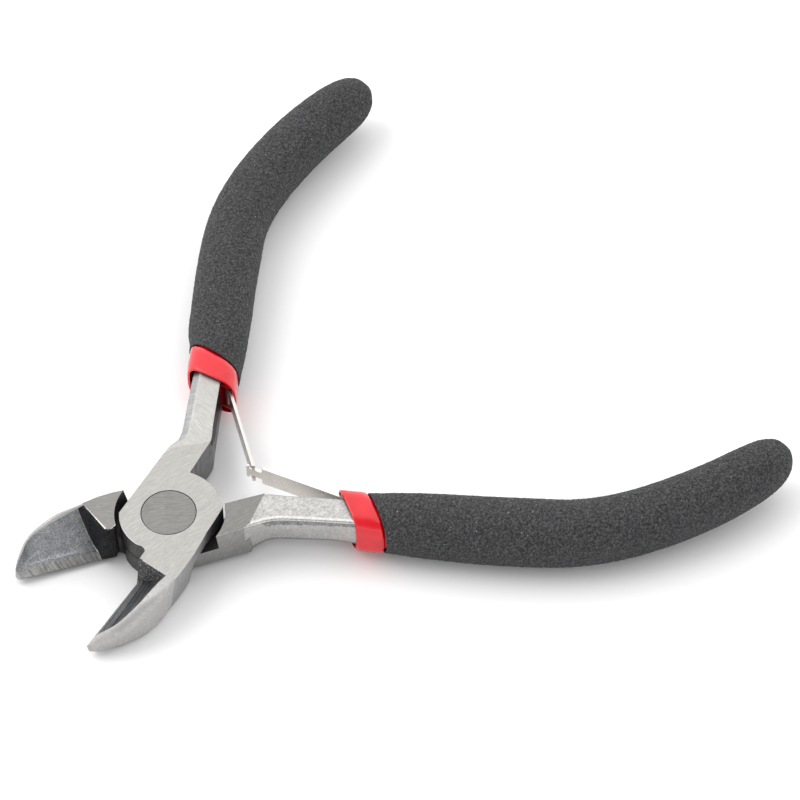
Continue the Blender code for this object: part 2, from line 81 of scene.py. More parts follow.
def make_board():
    """A wide flat board through the two lines where the tool rests."""
    x0, z0 = BOARD_JAW_SPOT
    slope = (BOARD_GRIP_SPOT[1] - z0) / (BOARD_GRIP_SPOT[0] - x0)
    corners = [(x, y, z0 + slope * (x - x0)) for x, y in
               ((-BOARD_HALF, -BOARD_HALF), (BOARD_HALF, -BOARD_HALF),
                (BOARD_HALF, BOARD_HALF), (-BOARD_HALF, BOARD_HALF))]
    mesh = bpy.data.meshes.new("board")
    mesh.from_pydata(corners, [], [(0, 1, 2, 3)])
    board = bpy.data.objects.new("board", mesh)
    bpy.context.scene.collection.objects.link(board)
    paper = bpy.data.materials.new("white_board")
    paper.use_nodes = True
    shader = paper.node_tree.nodes["Principled BSDF"]
    shader.inputs["Base Color"].default_value = (0.90, 0.90, 0.905, 1.0)
    shader.inputs["Roughness"].default_value = 0.9
    shader.inputs["Specular IOR Level"].default_value = 0.1
    mesh.materials.append(paper)


def make_light(name, spot, aim, size, watts, tint):
    """Round soft light at spot, turned towards aim."""
    data = bpy.data.lights.new(name, "AREA")
    data.shape = "DISK"
    data.size = size
    data.energy = watts
    data.color = tint
    lamp = bpy.data.objects.new(name, data)
    lamp.location = spot
    lamp.rotation_euler = (Vector(aim) - Vector(spot)).to_track_quat("-Z", "Y").to_euler()
    bpy.context.scene.collection.objects.link(lamp)


def make_room(brightness, dim):
    """White room, dimmer where the dark camera and its stand keep the light off."""
    world = bpy.data.worlds.new("white_room")
    world.use_nodes = True
    tree = world.node_tree
    toward = tree.nodes.new("ShaderNodeTexCoord")
    facing = tree.nodes.new("ShaderNodeVectorMath")
    facing.operation = "DOT_PRODUCT"
    facing.inputs[1].default_value = CAMERA_SPOT.normalized()
    level = tree.nodes.new("ShaderNodeMapRange")
    level.interpolation_type = "SMOOTHSTEP"
    for name, value in (("From Min", 0.60), ("From Max", 0.95), ("To Min", brightness), ("To Max", dim)):
        level.inputs[name].default_value = value
    background = tree.nodes["Background"]
    background.inputs["Color"].default_value = (1.0, 1.0, 1.0, 1.0)
    tree.links.new(toward.outputs["Generated"], facing.inputs[0])
    tree.links.new(facing.outputs["Value"], level.inputs["Value"])
    tree.links.new(level.outputs["Result"], background.inputs["Strength"])
    bpy.context.scene.world = world


make_camera()
make_board()
make_room(brightness=1.72, dim=0.35)
make_light("key", spot=(-0.30, 0.55, 0.75), aim=(0.02, 0.0, 0.0), size=0.8, watts=3.0, tint=(1.0, 0.99, 0.97))
bpy.context.scene.view_settings.view_transform = "Standard"


# The two halves. Each is one drop-forged piece of carbon steel: a jaw, half of the lap joint,
# a neck and a bent tang that goes down into the grip. The joint's faces are ground flat, the jaw
# hollows and the recess keep their dark scale, and the tangs are blasted.
#
# Each half is drawn closed, in millimetres: x along the middle line, jaws at -x, y towards its own
# handle and z from the joint's middle plane. place() mirrors the lower half and opens both.

SPRING_PIN = np.array([25.8, 5.2])     # on the closed drawing
spring_joint = next(j for j in frame["joints"] if j["name"] == "upper_spring_turn")
MID_Z = spring_joint["pos_m"][2] * 1000.0
HALF_OPEN = (math.atan2(spring_joint["pos_m"][1], spring_joint["pos_m"][0])
             - math.atan2(SPRING_PIN[1], SPRING_PIN[0]))
UPPER, LOWER = 1, -1                   # also the sign of the half's own side
BODY = {UPPER: "upper_body", LOWER: "lower_body"}
SIDE = {UPPER: "upper", LOWER: "lower"}

PLATE_GAP = 0.2
RIVET_HOLE_R = 4.12
JAW_ARC_R = 7.3                        # round end of the plate on the jaw's side
TANG_ARC_R = 8.0                       # and on the tang's side
SEAT_TANG_R = TANG_ARC_R + 0.35        # the seats that clear the other half's plate
SEAT_JAW_R = JAW_ARC_R + 0.68
SIDE_IN = 6.52
PLATE_EDGE = 0.07                      # broken edge round the ground faces
HIDDEN_EDGE = 0.004                    # and where another piece of the forging covers it
JAW_ROOT = {UPPER: (8.96, 0.142), LOWER: (9.26, 0.300)}     # distance and slant of the jaw's end wall
LIP = {UPPER: 0.22, LOWER: 0.36}                            # lip between the face and the end wall
END_WALL_RUN = {UPPER: 0.40, LOWER: 1.15}                   # how far that wall slopes out at its foot
JAW_INNER = {UPPER: 0.60, LOWER: -0.08}                     # how far the root stands back from the middle
# distance from the root, outer side at the top and at the bottom, fall of the top, inner side of the
# top land, rise of the underside, rounding, width and height of the ground strip
JAW_ROWS = {
    UPPER: (
        (0.0, 7.18, 6.30, 0.00, 5.75, 0.00, 0.30, 0.85, 1.35),
        (1.6, 7.12, 6.35, 0.00, 5.40, 0.00, 0.45, 0.85, 1.35),
        (4.0, 6.90, 6.30, 0.12, 5.08, 0.00, 1.00, 0.85, 1.35),
        (6.8, 6.20, 5.60, 0.60, 4.57, 0.10, 1.60, 0.85, 1.35),
        (9.9, 4.90, 4.10, 1.65, 3.45, 0.30, 1.40, 0.80, 1.20),
        (11.6, 3.70, 3.00, 2.60, 2.15, 0.50, 1.20, 0.70, 0.90),
        (12.7, 2.60, 2.30, 3.40, 1.05, 0.65, 1.00, 0.50, 0.50),
        (13.6, 1.70, 1.60, 4.00, 0.60, 0.80, 0.70, 0.30, 0.30),
        (14.3, 0.85, 0.80, 4.60, 0.35, 1.05, 0.30, 0.20, 0.20),
    ),
    LOWER: (
        (0.0, 6.00, 6.90, 0.00, 5.65, 0.00, 0.15, 0.45, 0.75),
        (1.9, 5.88, 6.80, 0.05, 5.23, 0.00, 0.25, 0.72, 1.05),
        (4.0, 5.75, 6.72, 0.18, 4.80, 0.00, 0.35, 0.95, 1.35),
        (5.3, 5.55, 6.42, 0.32, 4.52, 0.05, 0.40, 1.00, 1.48),
        (7.5, 4.94, 5.74, 0.68, 4.15, 0.10, 0.40, 1.00, 1.50),
        (9.3, 4.26, 4.92, 1.12, 3.74, 0.20, 0.22, 0.98, 1.50),
        (10.9, 3.40, 4.04, 1.66, 2.95, 0.35, 0.14, 0.90, 1.50),
        (12.0, 2.52, 3.06, 2.22, 2.05, 0.50, 0.12, 0.75, 1.45),
        (13.1, 1.62, 2.02, 2.95, 1.24, 0.70, 0.10, 0.55, 1.35),
        (14.05, 0.66, 0.95, 3.75, 0.50, 0.95, 0.08, 0.30, 1.20),
    ),
}
EDGE_Z = {UPPER: (-2.70, -1.70), LOWER: (-3.12, -2.20)}     # height of the cutting edge at root and tip
HOLLOW_DISH = 1.9                      # power of the hollow's fall: above 1 it is steep first, then flat
BACK_BEVEL = 0.40
# outer side of plate and jaw root: x, y at the plate's own face and at the other face
PLATE_SIDE = np.array((
    (-8.9, -7.26, -6.36), (-6.6, -7.28, -6.38), (-4.6, -7.22, -6.18), (-2.1, -7.00, -6.02),
    (-0.3, -6.78, -6.00), (1.6, -6.69, -6.10), (3.0, -6.60, -6.40)))
HANDLE_SIDE = {UPPER: (6.40, 6.40), LOWER: (5.85, 6.55)}    # y of the side by the handle, at those faces
# x, inner side, outer side, half height
TANG_ROWS = (
    (8.90, 3.00, 6.34, 3.46),
    (10.0, 2.60, 6.42, 3.48),
    (11.2, 2.20, 6.38, 3.48),
    (12.4, 1.80, 6.38, 3.48),
    (13.6, 1.60, 6.50, 3.48),
    (14.5, 1.52, 6.68, 3.48),
    (15.4, 1.86, 7.00, 3.47),
    (17.2, 2.76, 7.74, 3.46),
    (21.0, 4.46, 9.36, 3.40),
    (25.0, 6.18, 11.02, 3.20),
    (29.0, 7.80, 12.60, 2.60),
    (33.0, 9.50, 14.10, 2.60),
    (38.0, 11.85, 16.25, 2.65),
    (44.0, 14.70, 19.10, 2.65),
    (50.0, 17.30, 21.70, 2.65),
    (55.0, 19.20, 23.60, 2.65),
    (60.0, 20.30, 24.70, 2.65),
    (66.0, 20.70, 25.10, 2.65),
    (73.0, 20.35, 24.65, 2.60),
    (79.0, 19.55, 23.65, 2.50),
)
TANG_CHAMFER = 1.15
TANG_ROUND = 0.32                      # the small rounding on the chamfer's far side
TILT_FROM, TILT_TO = 31.0, 41.0        # sections turn square to the handle between these

# numbers of the finishes on a half
# On the tangs the scale finish also paints shade, and the bright edge finish also paints a highlight.
(FACE, WALL, HOLLOW, STRIP, END_WALL, RECESS, TANG_TOP, TANG_SIDE, TANG_INNER, BURR_AND_HIGHLIGHT, LAND, NOTCH,
 SCALE, DIPPED) = range(14)


def place(points, half):
    """Closed drawing of one half, in millimetres, to the part's own frame, in metres."""
    x = points[..., 0]
    y = points[..., 1] * half
    turn = HALF_OPEN * half
    placed = np.stack([x * math.cos(turn) - y * math.sin(turn),
                       x * math.sin(turn) + y * math.cos(turn),
                       points[..., 2] + MID_Z], axis=-1)
    return placed * 0.001


def flow(rows, count):
    """Catmull-Rom curve through rows of numbers: count rows, evenly spread between the given ones."""
    rows = np.asarray(rows, dtype=float)
    ends = np.vstack([2 * rows[0] - rows[1], rows, 2 * rows[-1] - rows[-2]])
    at = np.linspace(0, len(rows) - 1, count)
    k = np.minimum(at.astype(int), len(rows) - 2)
    t = (at - k)[:, None]
    a, b, c, d = (ends[k + i] for i in range(4))
    return (2 * b + (c - a) * t + (2 * a - 5 * b + 4 * c - d) * t ** 2
            + (3 * b - a - 3 * c + d) * t ** 3) / 2


def ripple(u, v, seed, waves=9):
    """Smooth unevenness, about -1 to 1: a sum of sine waves of seeded slants over u and v."""
    rng = np.random.default_rng(seed)
    total = np.zeros(np.broadcast(u, v).shape)
    for _ in range(waves):
        a, b, phase = rng.uniform(-1, 1), rng.uniform(-1, 1), rng.uniform(0, 2 * math.pi)
        total += np.sin(2 * math.pi * (a * u + b * v) + phase)
    return total / waves * 1.6


def uneven(distance, step, seed):
    """The same along one line, with swells about step long."""
    return ripple(distance / step, 0 * distance, seed)


def skin(name, grid, slots, end_slots=(0, 0)):
    """Piece over a grid of closed rings, shape (rings, points, 3): quads between them, and two end faces."""
    rings, count = grid.shape[:2]
    index = np.arange(rings * count).reshape(rings, count)
    ahead = np.roll(index, -1, axis=1)
    quads = np.stack([index[:-1], ahead[:-1], ahead[1:], index[1:]], axis=-1).reshape(-1, 4)
    faces = quads.tolist() + [index[0][::-1].tolist(), index[-1].tolist()]
    numbers = np.broadcast_to(slots, (rings - 1, count)).reshape(-1).tolist() + list(end_slots)
    mesh = bpy.data.meshes.new(name)
    mesh.from_pydata(grid.reshape(-1, 3), [], faces)
    mesh.polygons.foreach_set("material_index", np.array(numbers, dtype=np.int32))
    work = bmesh.new()
    work.from_mesh(mesh)
    bmesh.ops.recalc_face_normals(work, faces=work.faces)
    work.to_mesh(mesh)
    work.free()
    obj = bpy.data.objects.new(name, mesh)
    bpy.context.scene.collection.objects.link(obj)
    return obj


def arc(radius, start, end, count):
    """Points on a circle about the pivot, angles in degrees."""
    turns = np.radians(np.linspace(start, end, count))
    return np.column_stack([radius * np.cos(turns), radius * np.sin(turns)])


def corner(centre_y, centre_z, radius, start, end, count):
    """Columns of a rounded corner: circle about (centre_y, centre_z), angles in degrees."""
    turns = np.radians(np.linspace(start, end, count))[None, :]
    return (centre_y[:, None] + radius[:, None] * np.cos(turns),
            centre_z[:, None] + radius[:, None] * np.sin(turns))


def straight(y0, z0, y1, z1, count):
    """Columns of a straight run from (y0, z0) to (y1, z1), both ends left out."""
    share = np.linspace(0, 1, count + 2)[None, 1:-1]
    return (y0[:, None] + (y1 - y0)[:, None] * share, z0[:, None] + (z1 - z0)[:, None] * share)


def single(y, z):
    """One column."""
    return y[:, None], z[:, None]


def gathered(runs):
    """Columns of a whole section from its runs, ((y, z), slot): all y, all z, and each column's slot."""
    y = np.hstack([columns[0] for columns, _ in runs])
    z = np.hstack([columns[1] for columns, _ in runs])
    slots = np.concatenate([np.full(columns[0].shape[1], slot) for columns, slot in runs])
    return y, z, slots


def plate_runs(half):
    """The plate's outline as runs of (points, finish, whether the edge shows), round from the handle."""
    root, slant = JAW_ROOT[half]
    own = HANDLE_SIDE[half][0]
    side = math.degrees(math.asin(own / JAW_ARC_R))
    notch = -JAW_ARC_R - 0.1
    edge_y = -JAW_INNER[half] - 0.06
    outer = plate_outer(half)[0]
    tang_end = -math.degrees(math.asin(SIDE_IN / TANG_ARC_R))
    return (
        ([(14.35, 1.50), (13.2, 2.8), (10.5, 5.98), (9.1, own)], WALL, False),
        (arc(JAW_ARC_R, 180 - side, 171, 26), NOTCH, True),
        ([(notch + 0.25, 0.45), (notch + 0.27, 0.15), (notch + 0.20, -0.10), (notch + 0.08, -0.32),
          (notch - 0.10, -0.50), (notch - 0.40, -0.64), (-8.8, edge_y)], NOTCH, True),
        ([(-root - 0.1 + slant * edge_y, edge_y - 0.1), (-root - 0.1 - slant * outer, -outer)], WALL, False),
        (PLATE_SIDE[:, :2], WALL, False),
        (arc(TANG_ARC_R, tang_end, 8.6, 30), WALL, True),
        ([(11.2, 1.30)], TANG_INNER, True),
    )


def plate_outer(half):
    """Outer side of the jaw's root, at the plate's own face and at the other one."""
    return JAW_ROWS[half][0][1:3][::half]


def inward_of(outline):
    """Unit vectors from each corner of an outline towards its inside."""
    ahead = np.roll(outline, -1, axis=0) - outline
    behind = outline - np.roll(outline, 1, axis=0)
    along = ahead / np.linalg.norm(ahead, axis=1)[:, None] + behind / np.linalg.norm(behind, axis=1)[:, None]
    inward = np.column_stack([-along[:, 1], along[:, 0]])
    return inward / np.linalg.norm(inward, axis=1)[:, None]


def plate(half):
    """Lap plate and neck: an outline pulled to full thickness. Its sides lean, as forged, so the outline is
    given twice: at the plate's own face, which is the lower half's underside, and at the other face."""
    runs = plate_runs(half)
    outline = np.vstack([np.asarray(points, dtype=float) for points, _, _ in runs])
    slots = np.concatenate([np.full(len(points), slot) for points, slot, _ in runs])
    slots[-2] = TANG_INNER
    shown = np.concatenate([np.full(len(points), bare) for points, _, bare in runs])
    own, other = HANDLE_SIDE[half]
    handle_end = len(runs[0][0])
    jaw_end = sum(len(points) for points, _, _ in runs[:3])
    far = outline.copy()
    far[handle_end - 1:handle_end + 1, 1] = other
    far[handle_end, 0] = -math.sqrt(JAW_ARC_R ** 2 - min(own, other) ** 2)
    far[jaw_end + 1, 1] = -plate_outer(half)[1]
    far[jaw_end + 2:jaw_end + 2 + len(PLATE_SIDE), 1] = PLATE_SIDE[:, 2]
    pulled_in = inward_of(outline) * np.where(shown, PLATE_EDGE, HIDDEN_EDGE)[:, None]
    levels = ((far + pulled_in, -MID_Z), (far, -MID_Z + PLATE_EDGE),
              (outline, MID_Z - PLATE_EDGE), (outline + pulled_in, MID_Z))
    grid = np.stack([np.column_stack([line, np.full(len(line), z * half)]) for line, z in levels])
    broken = np.full(len(slots), BURR_AND_HIGHLIGHT)
    return skin("plate", place(grid, half), np.stack([broken, slots, broken]), (FACE, FACE))


def jaw_hollow(s, top, land, strip_y, strip_z, opened):
    """Columns of the dished hollow, from the top land down to the ground strip, a little lumpy as forged."""
    t = np.linspace(0, 1, 22)[None, :]
    y = -land[:, None] + (land + strip_y)[:, None] * t
    z = top[:, None] + (strip_z - top)[:, None] * (1 - (1 - t) ** HOLLOW_DISH) * opened[:, None]
    coarse = ripple(s[:, None] / 2.6, y / 1.5, 11)
    fine = ripple(s[:, None] / 0.8, y / 0.7, 12)
    towards_tip = np.clip((s[-1] - s) / 3, 0, 1)[:, None]
    return y, z + (coarse * 0.07 + fine * 0.025) * opened[:, None] * np.sin(math.pi * t) * towards_tip


def jaw_strip(s, inner, strip_y, strip_z, top, edge_z, opened):
    """Columns of the ground strip, down to the cutting edge, with the ridges that a coarse wheel leaves."""
    full_z = top - 0.02
    foot_z = full_z + (edge_z - full_z) * opened
    y, z = straight(strip_y, top + (strip_z - top) * opened, -inner, foot_z, 4)
    z = z + ripple(s[:, None] / 0.22, y / 0.9, 21) * 0.02 * opened[:, None]
    return np.column_stack([y, -inner]), np.column_stack([z, foot_z])


def jaw_slots(s, columns, half):
    """Finish of each face: the end wall takes the place of hollow and strip in the first rows."""
    slots = np.broadcast_to(columns, (len(s) - 1, len(columns))).copy()
    wall_rows = (s[:-1] > -1) & (s[:-1] < LIP[half] + END_WALL_RUN[half] * 0.92)
    slots[np.ix_(wall_rows, (columns == HOLLOW) | (columns == STRIP))] = END_WALL
    slots[0] = np.where(columns == HOLLOW, LAND, slots[0])
    slots[1] = np.where(columns == HOLLOW, BURR_AND_HIGHLIGHT if half == LOWER else LAND, slots[1])
    return np.where(slots == WALL, LAND, slots) if half == UPPER else slots


def jaw(half):
    """Jaw: slanted sections at distances s from the root, each a rounded body with a dished hollow, a
    ground strip along the cutting edge and a small back bevel. The hollow opens over the end wall's run."""
    root, slant = JAW_ROOT[half]
    length = JAW_ROWS[half][-1][0]
    dense = flow(JAW_ROWS[half], 400)
    s = np.concatenate([[-0.9, 0.0], np.linspace(LIP[half], END_WALL_RUN[half] + LIP[half] + 0.05, 10),
                        np.linspace(1.7, length, 76)])
    at = np.clip(s, 0, length)
    top_out, low_out, fall, land, rise, rounding, strip_w, strip_h = \
        (np.interp(at, dense[:, 0], dense[:, k]) for k in range(1, 9))
    buried = np.where(s < 0, 0.05, 0.0)
    top_out -= buried
    low_out -= buried
    top = MID_Z - fall - buried
    under = MID_Z - rise - buried
    rounding = np.minimum(rounding, top_out - land - 0.04)
    low_round = np.minimum(rounding, 0.3)
    bevel = np.minimum(BACK_BEVEL, 0.30 * low_out)
    open_share = np.clip((s - LIP[half]) / END_WALL_RUN[half], 0, 1)
    opened = open_share * open_share * (3 - 2 * open_share)
    nick = np.clip(uneven(s, 0.9, 3) * 0.5 + uneven(s, 0.35, 4) * 0.5 - 0.15, 0, 1) ** 2 * 0.25 * (s > 1.2)
    inner = JAW_INNER[half] + (0.05 - JAW_INNER[half]) * opened + nick
    edge_z = np.interp(at, (0, length), EDGE_Z[half])
    low_z = edge_z - np.minimum(0.25, 0.5 * (edge_z + under))
    strip_y = -inner - np.minimum(strip_w, 0.6 * land) + 0.05 * uneven(s, 0.7, 5) * opened
    strip_z = np.minimum(edge_z + strip_h, top - 0.12)
    y, z, columns = gathered((
        (straight(-inner - bevel, -under, -low_out + low_round, -under, 5), FACE),
        (corner(-low_out + low_round, -under + low_round, low_round, 270, 180, 5), WALL),
        (straight(-low_out, -under + low_round, -top_out, top - rounding, 8), WALL),
        (corner(-top_out + rounding, top - rounding, rounding, 180, 90, 12), WALL),
        (straight(-top_out + rounding, top, -land, top, 4), LAND),
        (jaw_hollow(s, top, land, strip_y, strip_z, opened), HOLLOW),
        (jaw_strip(s, inner, strip_y, strip_z, top, edge_z, opened), STRIP),
        (single(-inner - 0.08, low_z), STRIP),
        (single(-inner - bevel, -under), STRIP),
    ))
    grid = np.stack([-(root + s)[:, None] + slant * y, y, z], axis=-1)
    return skin("jaw", place(grid, half), jaw_slots(s, columns, half), (LAND, WALL))


def tilts(x, y):
    """Turn of each section: square to the middle line at first, then square to the handle."""
    return np.arctan2(np.gradient(y), np.gradient(x)) * np.clip((x - TILT_FROM) / (TILT_TO - TILT_FROM), 0, 1)


def ramp(x, start, run):
    """0 before start, rising evenly to 1 over run; a negative run falls to 0 at start instead."""
    return np.clip((x - start) / run, 0, 1)


def tang(half):
    """Neck and bent tang: sections with one wide chamfer and one small rounding on the outer side. The
    chamfer is on top of the upper half and under the lower one, because both halves are one forging turned
    over. The lower one has a band of painted shade under its rounding and a painted highlight on the
    rounding; the upper one has dark scale, darkened further as painted shade, along the top of its inner
    wall."""
    rows = np.vstack([flow(TANG_ROWS[:6], 26)[:-1], flow(TANG_ROWS[5:], 80)])
    x, inner, outer, high = rows.T
    wide = TANG_CHAMFER * ramp(x, 10.9, 2.2) + 0.12
    ease = np.minimum(0.06, 0.3 * wide)
    small = np.full(len(x), TANG_ROUND)
    edge = np.full(len(x), 0.10 if half == UPPER else 0.45)
    # On the lower tang the ridge takes the bright broken-edge finish as a painted highlight along the
    # rounding.
    ridge, turned_in = (TANG_TOP, TANG_INNER) if half == UPPER else (BURR_AND_HIGHLIGHT, TANG_TOP)
    # Painted shade: on the lower half a band of the dark scale finish, reach high, lies under the rounding in
    # place of the shade below the ridge; cove sets it in a little.
    shade = ramp(x, 12.3, 0.5) * ramp(x, 35, -20) * (half == LOWER)
    cove = 0.16 * shade
    reach = 0.14 + 1.2 * shade + shade * (0.30 * uneven(x, 1.1, 51) + 0.30 * uneven(x, 0.4, 52))
    # band: height of the dark band at the top of the upper tang's inner wall, scale with painted shade.
    ragged = 0.35 * uneven(x, 1.3, 31) + 0.15 * uneven(x, 0.4, 32)
    band = (0.6 + 3.4 * ramp(x, 14.0, 3.5) + ragged) * ramp(x, 13.2, 0.8) + 0.05
    low_y, low_z = straight(outer - small, -high, inner + edge, -high, 9)
    if half == LOWER:
        crown = 0.10 * (ramp(x, 13, 2) * ramp(x, 30, -4))[:, None]
        low_z = low_z - crown * np.sin(math.pi * np.linspace(0, 1, 9))
    y, z, columns = gathered((
        (straight(inner + edge, high, outer - wide - ease, high, 9), TANG_TOP),
        (single(outer - wide - ease, high), TANG_TOP),
        (single(outer - wide + 0.7 * ease, high - 0.7 * ease), TANG_SIDE),
        (straight(outer - wide + ease, high - ease, outer - ease, high - wide + ease, 3), TANG_SIDE),
        (single(outer - 0.7 * ease, high - wide + 0.7 * ease), TANG_SIDE),
        (single(outer, high - wide - ease), WALL),
        (straight(outer, high - wide - ease, outer, -high + small + 2.4, 6), TANG_SIDE),
        # These two columns start the dark band under the rounding: painted shade on the lower tang.
        (single(outer, -high + small + reach), SCALE),
        (single(outer - cove, -high + small + 0.5 * reach), SCALE),
        (single(outer - 0.8 * cove, -high + small + 0.10), ridge),
        (corner(outer - small, -high + small, small, 0, -90, 6), ridge),
        ((low_y, low_z), TANG_TOP),
        (corner(inner + edge, -high + edge, edge, 270, 180, 5), turned_in),
        (straight(inner, -high + edge, inner, high - edge - band, 6), TANG_INNER),
        (single(inner, high - edge - band), SCALE if half == UPPER else TANG_INNER),
        (corner(inner + edge, high - edge, edge, 180, 90, 5), TANG_TOP if half == UPPER else TANG_INNER),
    ))
    middle = (inner + outer) / 2
    across = y - middle[:, None]
    if half == LOWER:
        z = -z
        across = across - 0.48 * np.clip(across, 0, 2) * (high[:, None] - z) / 7 * ramp(x, 26, -4)[:, None]
    tilt = tilts(x, middle)[:, None]
    grid = np.stack([x[:, None] - across * np.sin(tilt), middle[:, None] + across * np.cos(tilt), z], axis=-1)
    return skin("tang", place(grid, half), columns, (TANG_TOP, TANG_TOP))


def pull(name, outline, low, high, half, slot):
    """A cutter: a flat outline pulled from height low to high."""
    outline = np.asarray(outline, dtype=float)
    grid = np.stack([np.column_stack([outline, np.full(len(outline), z)]) for z in (low, high)])
    return skin(name, place(grid, half), slot, (slot, slot))


def combine(body, steps):
    """Puts an exact Boolean on the body for each (operation, tool)."""
    for operation, tool in steps:
        modifier = body.modifiers.new(tool.name, "BOOLEAN")
        modifier.operation = operation
        modifier.solver = "EXACT"
        modifier.object = tool


def settle(body, steps):
    """Applies the body's modifiers to its mesh and removes the tools."""
    bpy.context.view_layer.update()
    done = bpy.data.meshes.new_from_object(body.evaluated_get(bpy.context.evaluated_depsgraph_get()))
    body.modifiers.clear()
    body.data = done
    for _, tool in steps:
        bpy.data.objects.remove(tool, do_unlink=True)


CHEEK_X = (25.12, 26.42)               # small cheeks at the sleeve's mouth that hold the spring's pin
CHEEK_HALF_H = 2.6
CHEEK_SLOT_HALF_H = 2.05
PIN_HOLE_R = 0.36
THROUGH = (-9.0, 9.0)                  # heights well past both faces


def forge(half, finishes):
    """Joins jaw and tang to the plate, then cuts the other plate's seat, the rivet hole and the spring's
    slot. All the tools carry the same finishes, so that each cut face keeps its own."""
    body = plate(half)
    body.name = body.data.name = SIDE[half] + "_forging"
    pin_x, pin_y = SPRING_PIN
    near, far = CHEEK_X
    cheeks = [(near, pin_y - 0.56), (pin_x, pin_y - 0.56), (far, pin_y + 0.1), (far, pin_y + 2.2),
              (near, pin_y + 2.2)]
    slot = [(near - 1.0, pin_y - 1.6), (far + 0.3, pin_y - 1.6), (far + 0.3, pin_y + 1.05),
            (near - 1.0, pin_y + 1.05)]
    seat = np.vstack([arc(SEAT_TANG_R, -90, 90, 49), arc(SEAT_JAW_R, 90, 270, 49)])
    seat_z = (THROUGH[0], PLATE_GAP / 2) if half == UPPER else (-PLATE_GAP / 2, THROUGH[1])
    steps = (
        ("UNION", jaw(half)),
        ("UNION", tang(half)),
        ("UNION", pull("cheeks", cheeks, -CHEEK_HALF_H, CHEEK_HALF_H, half, DIPPED)),
        ("DIFFERENCE", pull("slot", slot, -CHEEK_SLOT_HALF_H, CHEEK_SLOT_HALF_H, half, DIPPED)),
        ("DIFFERENCE", pull("pin_hole", arc(PIN_HOLE_R, 0, 345, 24) + SPRING_PIN, *THROUGH, half, RECESS)),
        ("DIFFERENCE", pull("seat", seat, *seat_z, half, RECESS)),
        ("DIFFERENCE", pull("rivet_hole", arc(RIVET_HOLE_R, 0, 357, 120), *THROUGH, half, RECESS)),
    )
    for piece in (body, *(tool for _, tool in steps)):
        for finish in finishes:
            piece.data.materials.append(finish)
    combine(body, steps)
    settle(body, steps)
    if half == LOWER:
        for polygon in body.data.polygons:
            if polygon.material_index == FACE and polygon.center.x < -0.004 and polygon.normal.z > 0.9:
                polygon.material_index = LAND
    return body


def smooth_by_angle(obj, degrees):
    """Smooth shading, with edges kept sharp where faces meet at more than this angle."""
    mesh = obj.data
    mesh.polygons.foreach_set("use_smooth", np.ones(len(mesh.polygons), dtype=bool))
    mesh.set_sharp_from_angle(angle=math.radians(degrees))
    weight = obj.modifiers.new("even_normals", "WEIGHTED_NORMAL")
    weight.keep_sharp = True


# Node groups for steel. Each takes a place in millimetres and gives masks that change over the surface.

def new_group(name, inputs, outputs):
    """Empty shader group with named sockets: (name, socket type, default value)."""
    group = bpy.data.node_groups.new(name, "ShaderNodeTree")
    for label, kind, value in inputs:
        socket = group.interface.new_socket(name=label, in_out="INPUT", socket_type=kind)
        if value is not None:
            socket.default_value = value
    for label, kind in outputs:
        group.interface.new_socket(name=label, in_out="OUTPUT", socket_type=kind)
    return group, group.nodes.new("NodeGroupInput"), group.nodes.new("NodeGroupOutput")


def node(tree, kind, wires=None, **settings):
    """New node with its settings; wires maps an input's name or number to a value or another socket."""
    made = tree.nodes.new("ShaderNode" + kind)
    for label, value in settings.items():
        setattr(made, label, value)
    return wired(tree, made, wires or {})


def wired(tree, made, wires):
    """Gives a node's inputs their values or links."""
    for label, value in wires.items():
        if isinstance(value, bpy.types.NodeSocket):
            tree.links.new(value, made.inputs[label])
        else:
            made.inputs[label].default_value = value
    return made


def maths(tree, operation, first, second):
    """Result of a Math node on two values or sockets."""
    return node(tree, "Math", {0: first, 1: second}, operation=operation).outputs[0]


def stretched(tree, place, by):
    """A place multiplied along each axis."""
    return node(tree, "VectorMath", {0: place, 1: by}, operation="MULTIPLY").outputs[0]


def noise(tree, place, scale, detail, roughness=0.5):
    """Result of a Noise Texture, about 0.3 to 0.7 for most of the surface."""
    return node(tree, "TexNoise", {"Vector": place, "Scale": scale, "Detail": detail,
                                   "Roughness": roughness}).outputs[0]


def cells(tree, place, scale):
    """Distance to the nearest of scattered points."""
    return node(tree, "TexVoronoi", {"Vector": place, "Scale": scale}).outputs["Distance"]


def between(tree, value, low, high):
    """0 to 1 as the value goes from low to high, held there outside them."""
    return node(tree, "MapRange", {"Value": value, "From Min": low, "From Max": high}).outputs[0]


def streak_group():
    """Brushed grain: three noises drawn out along X, summed into one mask, with a few long scratches."""
    group, given, put = new_group("brushed_grain", [("Place", "NodeSocketVector", None),
                                                    ("Fineness", "NodeSocketFloat", 1.0)],
                                  [("Streak", "NodeSocketFloat"), ("Scratch", "NodeSocketFloat")])
    scaled = node(group, "VectorMath", {0: given.outputs["Place"], "Scale": given.outputs["Fineness"]},
                  operation="SCALE").outputs[0]
    short = noise(group, stretched(group, scaled, (0.42, 8.0, 8.0)), 1.0, 2.0)
    broad = noise(group, stretched(group, scaled, (0.24, 3.0, 3.0)), 1.0, 2.0)
    hair = noise(group, stretched(group, scaled, (0.8, 14.0, 14.0)), 1.0, 1.0)
    total = maths(group, "ADD", maths(group, "ADD", short, broad), hair)
    group.links.new(between(group, total, 1.1, 1.9), put.inputs["Streak"])
    lines = noise(group, stretched(group, scaled, (0.26, 5.0, 5.0)), 1.0, 0.0)
    group.links.new(between(group, lines, 0.66, 0.74), put.inputs["Scratch"])
    return group


